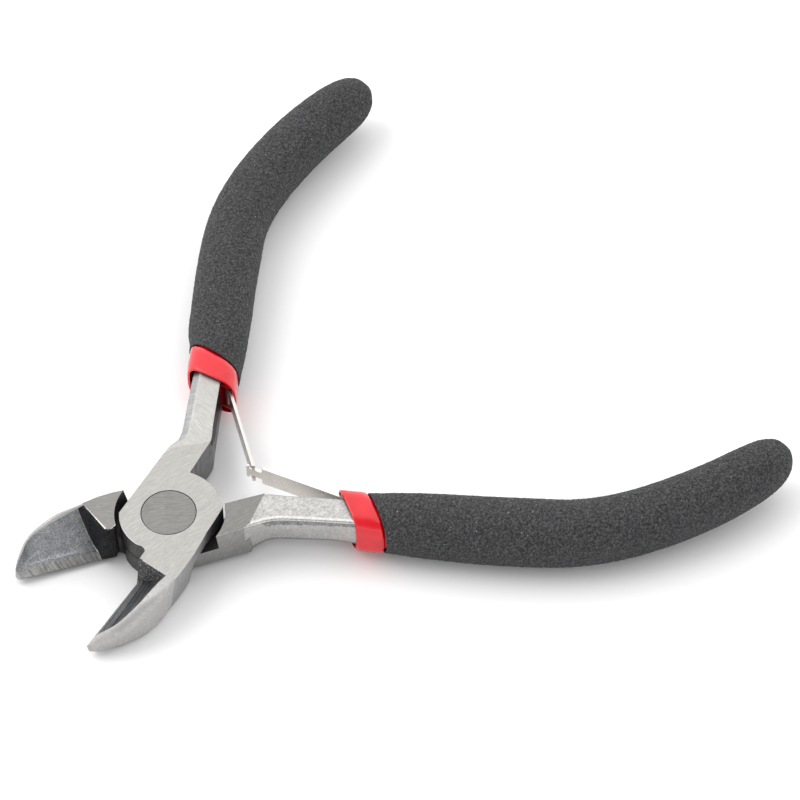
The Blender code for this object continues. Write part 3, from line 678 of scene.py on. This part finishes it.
def line_group():
    """Straight grinding lines: noise that changes only across them, faded in and out by a slower one."""
    group, given, put = new_group("ground_lines", [("Place", "NodeSocketVector", None),
                                                   ("Across", "NodeSocketVector", (1.0, 0.0, 0.0)),
                                                   ("Fineness", "NodeSocketFloat", 1.0),
                                                   ("Cloud", "NodeSocketFloat", 1.0)],
                                  [("Line", "NodeSocketFloat")])
    place = given.outputs["Place"]
    across = node(group, "VectorMath", {0: place, 1: given.outputs["Across"]}, operation="DOT_PRODUCT")
    spread = maths(group, "MULTIPLY", across.outputs["Value"], given.outputs["Fineness"])
    lines = node(group, "TexNoise", {"W": spread, "Scale": 1.0, "Detail": 2.0}, noise_dimensions="1D")
    soft = maths(group, "ADD", noise(group, place, 0.9, 2.0), noise(group, place, 5.0, 1.0))
    fading = maths(group, "MULTIPLY", maths(group, "SUBTRACT", soft, 1.0), given.outputs["Cloud"])
    both = maths(group, "ADD", lines.outputs[0], fading)
    group.links.new(between(group, both, 0.2, 0.8), put.inputs["Line"])
    return group


def grit_group():
    """Blasted or forged grain: fine noise, coarse mottling and sparse specks."""
    group, given, put = new_group("forged_grit", [("Place", "NodeSocketVector", None),
                                                  ("Grain", "NodeSocketFloat", 1.0),
                                                  ("Speck Size", "NodeSocketFloat", 0.16)],
                                  [("Fine", "NodeSocketFloat"), ("Mottle", "NodeSocketFloat"),
                                   ("Speck", "NodeSocketFloat")])
    scaled = node(group, "VectorMath", {0: given.outputs["Place"], "Scale": given.outputs["Grain"]},
                  operation="SCALE").outputs[0]
    masks = {"Fine": between(group, noise(group, scaled, 4.5, 3.0, 0.65), 0.3, 0.7),
             "Mottle": between(group, noise(group, scaled, 0.9, 3.0, 0.6), 0.32, 0.68),
             "Speck": between(group, cells(group, scaled, 2.2), given.outputs["Speck Size"], 0.05)}
    for name, mask in masks.items():
        group.links.new(mask, put.inputs[name])
    return group


brushed_grain = streak_group()
ground_lines = line_group()
forged_grit = grit_group()


def start_material(name):
    """New material, its nodes and its shader."""
    material = bpy.data.materials.new(name)
    material.use_nodes = True
    tree = material.node_tree
    return material, tree, tree.nodes["Principled BSDF"]


def place_in_mm(tree, turn=0.0):
    """Object coordinates in millimetres, turned about Z so that X follows the brushing."""
    spot = node(tree, "TexCoord")
    mapped = node(tree, "Mapping", {"Vector": spot.outputs["Object"], "Scale": (1000.0, 1000.0, 1000.0)})
    mapped.inputs["Rotation"].default_value = (0.0, 0.0, -math.radians(turn))
    return mapped.outputs[0]


def grouped(tree, group, **values):
    """A node group placed in a material, with its inputs' values."""
    made = tree.nodes.new("ShaderNodeGroup")
    made.node_tree = group
    return wired(tree, made, values)


def mix_color(tree, mask, low, high):
    """Colour low where the mask is 0 and high where it is 1."""
    mixed = node(tree, "Mix", data_type="RGBA")
    for socket, value in ((mixed.inputs[0], mask), (mixed.inputs[6], low), (mixed.inputs[7], high)):
        if isinstance(value, bpy.types.NodeSocket):
            tree.links.new(value, socket)
        elif isinstance(value, (int, float)):
            socket.default_value = value
        else:
            socket.default_value = (*value, 1.0)
    return mixed.outputs[2]


def ranged(tree, mask, low, high):
    """A mask spread out from low to high."""
    return node(tree, "MapRange", {"Value": mask, "To Min": low, "To Max": high}).outputs[0]


def bump(tree, height, distance, strength=1.0):
    """Normal from a height mask, at most distance metres deep."""
    return node(tree, "Bump", {"Height": height, "Distance": distance, "Strength": strength}).outputs[0]


def brushed_steel(name, turn, dark, light, rough, fineness=2.4, relief=0.000003):
    """Ground face: streaks along one direction in colour, gloss and relief."""
    material, tree, shader = start_material(name)
    grain = grouped(tree, brushed_grain, Place=place_in_mm(tree, turn), Fineness=fineness)
    streak = grain.outputs["Streak"]
    bright = tuple(min(1.0, c * 1.10) for c in light)
    color = mix_color(tree, grain.outputs["Scratch"], mix_color(tree, streak, dark, light), bright)
    tree.links.new(color, shader.inputs["Base Color"])
    tree.links.new(ranged(tree, streak, rough + 0.10, rough - 0.06), shader.inputs["Roughness"])
    tree.links.new(bump(tree, streak, relief), shader.inputs["Normal"])
    shader.inputs["Metallic"].default_value = 1.0
    return material


def lined_steel(name, across, fineness, dark, light, rough, relief=0.000008, cloud=1.0):
    """Steel with straight grinding lines; across points over the lines, in the part's frame."""
    material, tree, shader = start_material(name)
    line = grouped(tree, ground_lines, Place=place_in_mm(tree), Across=across, Fineness=fineness,
                   Cloud=cloud).outputs["Line"]
    tree.links.new(mix_color(tree, line, dark, light), shader.inputs["Base Color"])
    tree.links.new(ranged(tree, line, rough + 0.08, rough - 0.05), shader.inputs["Roughness"])
    tree.links.new(bump(tree, line, relief), shader.inputs["Normal"])
    shader.inputs["Metallic"].default_value = 1.0
    return material


def grit_steel(name, dark, light, rough, grain=1.0, relief=0.00003, metallic=1.0, speck=None,
               speck_share=1.0, speck_size=0.16):
    """Forged or blasted steel: mottled colour, fine relief and, where given, specks of another tone."""
    material, tree, shader = start_material(name)
    grit = grouped(tree, forged_grit, Place=place_in_mm(tree), Grain=grain)
    grit.inputs["Speck Size"].default_value = speck_size
    fine = grit.outputs["Fine"]
    both = maths(tree, "ADD", maths(tree, "MULTIPLY", fine, grit.outputs["Mottle"]), fine)
    color = mix_color(tree, maths(tree, "MULTIPLY", both, 0.6), dark, light)
    if speck is not None:
        some = maths(tree, "MULTIPLY", grit.outputs["Speck"], speck_share)
        color = mix_color(tree, some, color, speck)
    tree.links.new(color, shader.inputs["Base Color"])
    tree.links.new(ranged(tree, fine, rough + 0.12, rough - 0.10), shader.inputs["Roughness"])
    tree.links.new(bump(tree, fine, relief), shader.inputs["Normal"])
    shader.inputs["Metallic"].default_value = metallic
    return material


def own_finishes(half):
    """Finishes that differ between the halves. The lines of grinding run over the vectors given here."""
    turn = HALF_OPEN * half
    along = (math.cos(turn), math.sin(turn), 0.0)
    over = (-math.sin(turn), math.cos(turn), 0.6)
    steep = (along[0], along[1], 0.45)
    leaning = (along[0], along[1], -0.35)
    if half == UPPER:
        return {
            FACE: brushed_steel("upper_ground_face", 0.0, (0.305, 0.297, 0.283), (0.400, 0.390, 0.371), 0.42),
            WALL: lined_steel("upper_wall", along, 4.0, (0.335, 0.332, 0.334), (0.405, 0.402, 0.404), 0.48,
                              relief=0.000004),
            HOLLOW: lined_steel("upper_hollow", over, 4.5, (0.006, 0.006, 0.007), (0.200, 0.204, 0.212), 0.5,
                                relief=0.000020, cloud=0.25),
            END_WALL: grit_steel("upper_end_wall", (0.004, 0.004, 0.005), (0.130, 0.130, 0.132), 0.50, 1.0,
                                 relief=0.00002, metallic=0.8, speck=(0.50, 0.50, 0.49), speck_share=0.8,
                                 speck_size=0.34),
            STRIP: lined_steel("upper_strip", steep, 3.0, (0.050, 0.051, 0.052), (0.200, 0.202, 0.205), 0.45),
            LAND: grit_steel("upper_land", (0.350, 0.345, 0.337), (0.440, 0.434, 0.425), 0.46, 0.5,
                             relief=0.000004, metallic=0.35),
            TANG_TOP: brushed_steel("upper_tang_top", 92.0, (0.345, 0.338, 0.324), (0.465, 0.455, 0.436),
                                    0.45, fineness=2.2, relief=0.000006),
            TANG_SIDE: lined_steel("upper_tang_side", along, 2.0, (0.300, 0.303, 0.305),
                                   (0.420, 0.424, 0.426), 0.46),
            # Dark partly from oxide and partly as painted shade on the inner wall, which is turned from the
            # light.
            TANG_INNER: lined_steel("upper_tang_inner", along, 1.5, (0.155, 0.155, 0.158),
                                    (0.235, 0.235, 0.238), 0.5),
            # Near-black band at the top of the inner wall: scale, darkened further as painted shade.
            SCALE: grit_steel("upper_scale_and_painted_shade", (0.004, 0.004, 0.004), (0.040, 0.040, 0.040), 0.5, 0.8,
                              relief=0.000010),
        }
    return {
        FACE: brushed_steel("lower_ground_face", 0.0, (0.160, 0.156, 0.148), (0.225, 0.219, 0.208), 0.44),
        WALL: lined_steel("lower_wall", leaning, 4.5, (0.300, 0.297, 0.293), (0.375, 0.372, 0.366), 0.48,
                          relief=0.000004),
        HOLLOW: grit_steel("lower_hollow", (0.160, 0.165, 0.175), (0.480, 0.490, 0.508), 0.45, 1.0,
                           relief=0.00002, speck=(0.07, 0.075, 0.08), speck_share=0.5),
        END_WALL: grit_steel("lower_end_wall", (0.012, 0.012, 0.013), (0.055, 0.057, 0.060), 0.5, 0.8,
                             relief=0.00001),
        STRIP: lined_steel("lower_strip", steep, 2.2, (0.190, 0.188, 0.184), (0.500, 0.493, 0.482), 0.42,
                           relief=0.00002, cloud=0.5),
        LAND: brushed_steel("lower_land", -49.0, (0.180, 0.175, 0.168), (0.250, 0.243, 0.233), 0.44),
        TANG_TOP: grit_steel("lower_tang_top", (0.300, 0.296, 0.286), (0.520, 0.512, 0.495), 0.44, 0.55,
                             relief=0.000010),
        TANG_SIDE: grit_steel("lower_tang_side", (0.420, 0.415, 0.407), (0.640, 0.632, 0.620), 0.46, 0.8,
                              relief=0.000010),
        TANG_INNER: grit_steel("lower_tang_inner", (0.200, 0.200, 0.197), (0.320, 0.317, 0.310), 0.46, 0.6,
                               relief=0.000010),
        # Grey band under the lower tang's ridge: painted shade, not scale.
        SCALE: grit_steel("lower_painted_shade_band", (0.150, 0.150, 0.150), (0.460, 0.460, 0.460), 0.5, 0.8,
                          relief=0.000010),
    }


def lapped(half):
    """All the finishes of one half, in the order of their numbers."""
    side = SIDE[half]
    finishes = own_finishes(half) | {
        RECESS: grit_steel(side + "_oily_recess", (0.004, 0.004, 0.004), (0.018, 0.018, 0.018), 0.38, 0.7,
                           relief=0.000010, metallic=0.4, speck=(0.12, 0.115, 0.11), speck_share=0.10),
        # Bright broken edges and burrs; the same finish paints the highlight on the lower tang's ridge.
        BURR_AND_HIGHLIGHT: grit_steel(side + "_broken_edge_and_highlight", (0.38, 0.375, 0.36), (0.74, 0.73, 0.71), 0.36, 0.8,
                         relief=0.000006),
        NOTCH: grit_steel(side + "_notch", (0.060, 0.060, 0.062), (0.115, 0.115, 0.117), 0.42, 0.8,
                          relief=0.000006),
        DIPPED: grit_steel(side + "_dipped", (0.40, 0.003, 0.008), (0.55, 0.006, 0.014), 0.35, 1.0,
                           relief=0.000003, metallic=0.0),
    }
    return [finishes[number] for number in sorted(finishes)]


for half in (UPPER, LOWER):
    forging = forge(half, lapped(half))
    smooth_by_angle(forging, 28.0)
    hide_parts(SIDE[half] + "_half")
    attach(forging, BODY[half])


# Pivot rivet. A solid steel pin, peened over and ground flush with both plates, so that only a thin
# dark line shows where it ends. Its faces were ground across the plates' own grain.

RIVET_R = 4.03
RIVET_EDGE = 0.06


def turned(name, profile, count):
    """Solid of revolution about the pivot: profile is (radius, height) from bottom to top."""
    profile = np.array(profile, dtype=float)
    turns = np.linspace(0, 2 * math.pi, count, endpoint=False)
    x = profile[:, :1] * np.cos(turns)
    y = profile[:, :1] * np.sin(turns)
    z = np.broadcast_to(profile[:, 1:] + MID_Z, x.shape)
    return skin(name, np.stack([x, y, z], axis=-1) * 0.001, 0)


rivet_side = [(RIVET_R - RIVET_EDGE, -MID_Z), (RIVET_R, -MID_Z + RIVET_EDGE), (RIVET_R, MID_Z - RIVET_EDGE),
              (RIVET_R - RIVET_EDGE, MID_Z)]
rivet = turned("rivet", rivet_side, 160)
rivet.data.materials.append(brushed_steel("rivet_face", -35.0, (0.160, 0.156, 0.150), (0.240, 0.234, 0.225),
                                          0.44))
smooth_by_angle(rivet, 28.0)
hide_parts("pivot_rivet")
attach(rivet, "lower_body")


# Return springs. Two nickel-plated steel strips stand on edge and turn on hidden cross pins in the
# tangs. The lower one ends in a headed tongue that hooks through the upper one's slotted end.

LEAF_T = 0.45
LEAF_HALF_H = 1.75
LEAF_EDGE = 0.06
# Both strips are the same nickel; their different tones are painted light and shade, for how each face turns
# to the light.
LEAF_LIT_AND_SHADED_TONE = {UPPER: (0.64, 0.615, 0.585), LOWER: (0.80, 0.760, 0.705)}
PIN_TONE = (0.60, 0.580, 0.550)
HOOK_DISTANCE = 15.36                  # from the pin to the place where the strips cross
LEAF_TURN = math.asin(spring_joint["pos_m"][1] * 1000.0 / HOOK_DISTANCE) - HALF_OPEN
EYE_R = 0.62                           # rolled eye round the pin


def leaf_outline(half):
    """Side view of a strip, (distance from the pin, height): a slotted end, or a tongue with a head."""
    mouth = HOOK_DISTANCE - 1.55
    if half == UPPER:
        end = HOOK_DISTANCE + 0.5
        tip = [(end - 0.25, -LEAF_HALF_H), (end, -LEAF_HALF_H + 0.2), (end, -1.0), (mouth + 0.25, -1.0),
               (mouth, -0.8), (mouth, 0.8), (mouth + 0.25, 1.0), (end, 1.0), (end, LEAF_HALF_H - 0.2),
               (end - 0.25, LEAF_HALF_H)]
    else:
        neck, head = HOOK_DISTANCE + 0.6, HOOK_DISTANCE + 1.0
        side = [(mouth - 0.1, LEAF_HALF_H), (mouth, LEAF_HALF_H - 0.1), (mouth, 0.95), (mouth + 0.2, 0.75),
                (neck, 0.75), (neck, 1.2), (neck + 0.1, 1.3), (head, 1.2)]
        tip = [(u, -w) for u, w in side] + side[::-1]
    return np.array([(0.5, -LEAF_HALF_H)] + tip + [(0.5, LEAF_HALF_H)])


def leaf(half):
    """The outline pulled to the strip's thickness with bevelled edges, and the rolled eye round the pin."""
    outline = leaf_outline(half)
    along = np.array([-math.cos(LEAF_TURN), -math.sin(LEAF_TURN)])
    sideways = np.array([-along[1], along[0]])
    rings = []
    for offset in (-LEAF_T / 2, LEAF_T / 2):
        flat = SPRING_PIN + outline[:, :1] * along + offset * sideways
        rings.append(np.column_stack([flat, outline[:, 1]]))
    strip = skin(SIDE[half] + "_leaf", place(np.stack(rings), half), 0)
    steps = (("UNION", pull("eye", arc(EYE_R, 0, 345, 24) + SPRING_PIN, -LEAF_HALF_H, LEAF_HALF_H, half, 0)),
             ("DIFFERENCE", pull("eye_hole", arc(PIN_HOLE_R, 0, 345, 24) + SPRING_PIN, *THROUGH, half, 0)))
    combine(strip, steps)
    soft = strip.modifiers.new("edges", "BEVEL")
    soft.width = LEAF_EDGE * 0.001
    soft.segments = 2
    soft.limit_method = "ANGLE"
    soft.angle_limit = math.radians(50.0)
    settle(strip, steps)
    return strip


def nickel(name, tone, rough):
    """Plated strip: nearly even, with faint rolling lines along its length and small dull patches."""
    material, tree, shader = start_material(name)
    mottle = grouped(tree, forged_grit, Place=place_in_mm(tree), Grain=0.6).outputs["Mottle"]
    streak = grouped(tree, brushed_grain, Place=place_in_mm(tree, 64.0), Fineness=1.2).outputs["Streak"]
    dull = tuple(c * 0.86 for c in tone)
    color = mix_color(tree, maths(tree, "MULTIPLY", mottle, streak), dull, tone)
    tree.links.new(color, shader.inputs["Base Color"])
    tree.links.new(ranged(tree, mottle, rough - 0.04, rough + 0.08), shader.inputs["Roughness"])
    tree.links.new(bump(tree, streak, 0.000004), shader.inputs["Normal"])
    shader.inputs["Metallic"].default_value = 1.0
    return material


for half in (UPPER, LOWER):
    strip = leaf(half)
    strip.data.materials.clear()
    strip.data.materials.append(nickel(SIDE[half] + "_spring_nickel", LEAF_LIT_AND_SHADED_TONE[half], 0.30))
    smooth_by_angle(strip, 35.0)
    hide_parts(SIDE[half] + "_leaf_spring")
    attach(strip, SIDE[half] + "_spring")
    cross_pin = frame["nodes"][SIDE[half] + "_spring_pin"]
    cross_pin.data.materials.clear()
    cross_pin.data.materials.append(nickel(SIDE[half] + "_pin_nickel", PIN_TONE, 0.35))


# Sleeves. The tangs were dipped in red vinyl, which leaves a glossy skin with a thick rounded lip at
# the mouth. The foam grip covers all but a band at the front.

GRIP_START = 29.0
GRIP_LENGTH = 61.7
# share of the grip's length, middle y, half width, half height
GRIP_ROWS = (
    (0.0000, 9.90, 4.60, 4.15),
    (0.0648, 11.75, 4.70, 4.55),
    (0.1459, 14.05, 4.66, 4.85),
    (0.2431, 16.90, 4.72, 5.00),
    (0.3404, 19.50, 4.75, 5.05),
    (0.4214, 21.40, 4.60, 5.02),
    (0.5024, 22.50, 4.50, 5.00),
    (0.5997, 22.90, 4.45, 4.98),
    (0.7131, 22.50, 4.40, 4.90),
    (0.8104, 21.60, 4.25, 4.78),
    (0.8914, 20.45, 4.02, 4.55),
    (0.9465, 19.45, 3.55, 4.05),
    (0.9822, 18.75, 2.60, 3.00),
    (1.0000, 18.40, 1.30, 1.50),
)
grip_rows = np.array(GRIP_ROWS)
grip_rows[:, 0] = GRIP_START + GRIP_LENGTH * grip_rows[:, 0]
SLEEVE_LIP = 0.22
SLEEVE_POWER = 3.2                     # superellipse power of the band, and of the part under the foam
SLEEVE_NECK_POWER = 2.7
# x, middle y, half width, half height: the mouth, the band behind it, and the inside of both
SLEEVE_MOUTH = np.array((25.0, 7.76, 4.22, 3.85))
SLEEVE_BAND = ((25.6, 8.09, 4.26, 3.88), (26.6, 8.62, 4.28, 3.88), (27.6, 9.14, 4.31, 3.87),
               (28.4, 9.55, 4.32, 3.85))
SLEEVE_INSIDE = ((25.0075, 7.7833, 3.7433, 3.5033), (25.22, 7.80, 3.74, 3.50), (26.9, 8.76, 3.85, 3.45),
                 (28.2, 9.60, 3.30, 3.10))
NECK_UNDER = 0.85                      # how far the sleeve lies under the foam's surface
SLANT_BACK = (1.00, 29.3, 2.4)         # slant of the upper rims: how far, at which x and over what run
SLANT_OUT = (0.35, 29.0, 7.0)          # and how they stand out


def handle_rings(rows, power, count):
    """Superellipse rings of that power along rows of (x, middle y, half width, half height)."""
    x, y, wide, high = rows.T
    turns = np.linspace(0, 2 * math.pi, count, endpoint=False)[None, :]
    power = np.broadcast_to(power, x.shape)[:, None]
    across = np.sign(np.cos(turns)) * np.abs(np.cos(turns)) ** (2 / power) * wide[:, None]
    up = np.sign(np.sin(turns)) * np.abs(np.sin(turns)) ** (2 / power) * high[:, None]
    tilt = tilts(x, y)[:, None]
    return np.stack([x[:, None] - across * np.sin(tilt), y[:, None] + across * np.cos(tilt), up], axis=-1)


def closed_down(ring, centre, steps):
    """Rings that shrink from a ring towards a centre: for each step, (share of its size, push along x)."""
    return np.stack([centre + (ring - centre) * share + (push, 0.0, 0.0) for share, push in steps])


def rim_slant(rings, half):
    """The upper handle's rims were cut a little aslant: the outer side starts further back and stands out."""
    if half == LOWER:
        return rings
    middle = rings.mean(axis=1, keepdims=True)
    outward = np.clip((rings[..., 1] - middle[..., 1]) / 9.2 + 0.5, 0, 1)
    slanted = rings.copy()
    for axis, (amount, spot, run) in enumerate((SLANT_BACK, SLANT_OUT)):
        slanted[..., axis] += amount * outward * np.exp(-((rings[..., 0] - spot) / run) ** 2)
    return slanted


def sleeve_outside():
    """Rows of the outer skin: quarter-round lip, band, and the neck that goes on under the foam."""
    turns = np.linspace(0, math.pi / 2, 7)
    back = SLEEVE_LIP * (1 - np.cos(turns))
    lower = SLEEVE_LIP * (1 - np.sin(turns))
    rise = (SLEEVE_BAND[-1][1] - SLEEVE_MOUTH[1]) / (SLEEVE_BAND[-1][0] - SLEEVE_MOUTH[0])
    lip = SLEEVE_MOUTH + np.column_stack([back, back * rise, -lower, -lower])
    neck = flow(grip_rows[:-2] - (0.0, 0.0, NECK_UNDER, NECK_UNDER), 40)
    neck[-1, 2:] *= 0.9
    return np.vstack([lip, SLEEVE_BAND, neck[0] - (0.1, 0.07, 0.0, 0.0), neck])


def sleeve_inside():
    """Rows of the inner skin: close behind the lip at first, then a little off the tang all round."""
    x, inner, outer, high = np.array(TANG_ROWS)[11:].T
    core = np.column_stack([x, (inner + outer) / 2, (outer - inner) / 2 + 0.45, high + 0.35])
    return np.vstack([SLEEVE_INSIDE, core, core[-1] + (1.2, -0.25, 0.0, 0.0)])


def sleeve(half):
    """One closed skin: up the outside from the lip to the blind end, and back down the inside."""
    outside = sleeve_outside()
    power = np.where(outside[:, 0] < GRIP_START - 0.2, SLEEVE_POWER, SLEEVE_NECK_POWER)
    outer = handle_rings(outside, power, 72)
    inner = handle_rings(sleeve_inside(), 4.0, 72)
    tips = closed_down(outer[-1], outer[-1].mean(axis=0) + (0.5, -0.12, 0.0), ((0.4, 0.0), (0.02, 0.0)))
    tips_in = closed_down(inner[-1], inner[-1].mean(axis=0) + (0.2, 0.0, 0.0), ((0.02, 0.0),))
    tube = np.concatenate([tips[::-1], outer[::-1], inner, tips_in])
    return skin(SIDE[half] + "_vinyl_sleeve", place(rim_slant(tube, half), half), 0)


def red_vinyl(name):
    """Dipped vinyl: even glossy red, a little darker where it is thin, with slow waves in the skin."""
    material, tree, shader = start_material(name)
    mottle = grouped(tree, forged_grit, Place=place_in_mm(tree), Grain=0.35).outputs["Mottle"]
    color = mix_color(tree, mottle, (0.56, 0.003, 0.010), (0.66, 0.006, 0.017))
    tree.links.new(color, shader.inputs["Base Color"])
    tree.links.new(ranged(tree, mottle, 0.16, 0.26), shader.inputs["Roughness"])
    tree.links.new(bump(tree, mottle, 0.00010, 0.4), shader.inputs["Normal"])
    shader.inputs["Specular IOR Level"].default_value = 0.30
    shader.inputs["Coat Weight"].default_value = 0.45
    shader.inputs["Coat Roughness"].default_value = 0.04
    return material


for half in (UPPER, LOWER):
    dipped = sleeve(half)
    dipped.data.materials.append(red_vinyl(SIDE[half] + "_red_vinyl"))
    smooth_by_angle(dipped, 60.0)
    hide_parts(SIDE[half] + "_sleeve")
    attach(dipped, BODY[half])


# Grips. A second, thicker dip of foamed rubber, matt charcoal with a fine sandy skin. It is a closed
# sock over the red sleeve.

GRIP_WALL = 0.6
GRIP_RIM = 0.22                        # rounding of the rim, half width and height
GRIP_RIM_RUN = 0.18                    # and along the handle
FOAM_ACROSS = 168                      # points round the skin and along it
FOAM_ALONG = 330
FOAM_RELIEF = 0.022
FOAM_POWER = 2.3                       # superellipse power of the sections


def foam_grain(rows, count, seed):
    """Sandy unevenness over the skin: seeded noise, evened out over neighbours, about 1 high."""
    grains = np.random.default_rng(seed).normal(size=(rows, count))
    beside = sum(np.roll(grains, step, axis) for axis in (0, 1) for step in (1, -1))
    evened = grains + 0.5 * beside
    return evened / evened.std()


def foam_skin(rows, seed):
    """Rings of the outside, moved out and in by the foam's grain, less of it near the rim."""
    smooth = handle_rings(rows, FOAM_POWER, FOAM_ACROSS)
    away = smooth - smooth.mean(axis=1, keepdims=True)
    away /= np.linalg.norm(away, axis=2, keepdims=True)
    fade = np.clip((rows[:, 0] - rows[0, 0]) / 0.8, 0.2, 1)[:, None, None]
    return smooth + away * foam_grain(FOAM_ALONG, FOAM_ACROSS, seed)[:, :, None] * FOAM_RELIEF * fade


def grip(half, seed):
    """Closed sock: outside from the rounded end to the rim, and the inside back to its own end."""
    rows = flow(grip_rows, FOAM_ALONG)
    outer = foam_skin(rows, seed)
    turns = np.linspace(0, math.pi / 2, 5)[:-1]
    lower = GRIP_RIM * (1 - np.sin(turns))
    rim_rows = rows[0] - np.column_stack([GRIP_RIM_RUN * np.cos(turns), 0 * turns, lower, lower])
    rim = handle_rings(np.vstack([rim_rows, rows[:2]]), FOAM_POWER, FOAM_ACROSS)[:len(turns)]
    inside = grip_rows[:-2] - (0.0, 0.0, GRIP_WALL, GRIP_WALL)
    inside[-1, 2:] *= 0.92
    inner = handle_rings(inside, SLEEVE_NECK_POWER, FOAM_ACROSS)
    end = np.array([rows[-1, 0] + 0.45, rows[-1, 1] - 0.15, 0.0])
    end_in = np.array([inside[-1, 0] + 1.0, inside[-1, 1] - 0.25, 0.0])
    tips = closed_down(outer[-1], end, ((0.55, 0.10), (0.02, 0.0)))
    tips_in = closed_down(inner[-1], end_in, ((0.02, 0.0),))
    tube = np.concatenate([tips[::-1], outer[::-1], rim[::-1], inner, tips_in])
    return skin(SIDE[half] + "_foam_grip", place(rim_slant(tube, half), half), 0)


def charcoal_foam(name):
    """Foamed rubber: dark grains and paler crumbs, very rough, with rare bright specks."""
    material, tree, shader = start_material(name)
    spot = place_in_mm(tree)
    fine = between(tree, noise(tree, spot, 2.6, 4.0, 0.75), 0.34, 0.68)
    crumb = between(tree, cells(tree, spot, 3.2), 0.1, 0.6)
    both = maths(tree, "MULTIPLY", fine, crumb)
    color = mix_color(tree, both, (0.010, 0.010, 0.011), (0.104, 0.105, 0.108))
    spark = between(tree, cells(tree, spot, 0.75), 0.07, 0.03)
    tree.links.new(mix_color(tree, spark, color, (0.45, 0.46, 0.48)), shader.inputs["Base Color"])
    tree.links.new(ranged(tree, fine, 0.95, 0.72), shader.inputs["Roughness"])
    tree.links.new(bump(tree, both, 0.00012, 0.8), shader.inputs["Normal"])
    shader.inputs["Specular IOR Level"].default_value = 0.35
    return material


for half, seed in ((UPPER, 41), (LOWER, 42)):
    foam = grip(half, seed)
    foam.data.materials.append(charcoal_foam(SIDE[half] + "_charcoal_foam"))
    smooth_by_angle(foam, 70.0)
    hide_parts(SIDE[half] + "_grip")
    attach(foam, BODY[half])
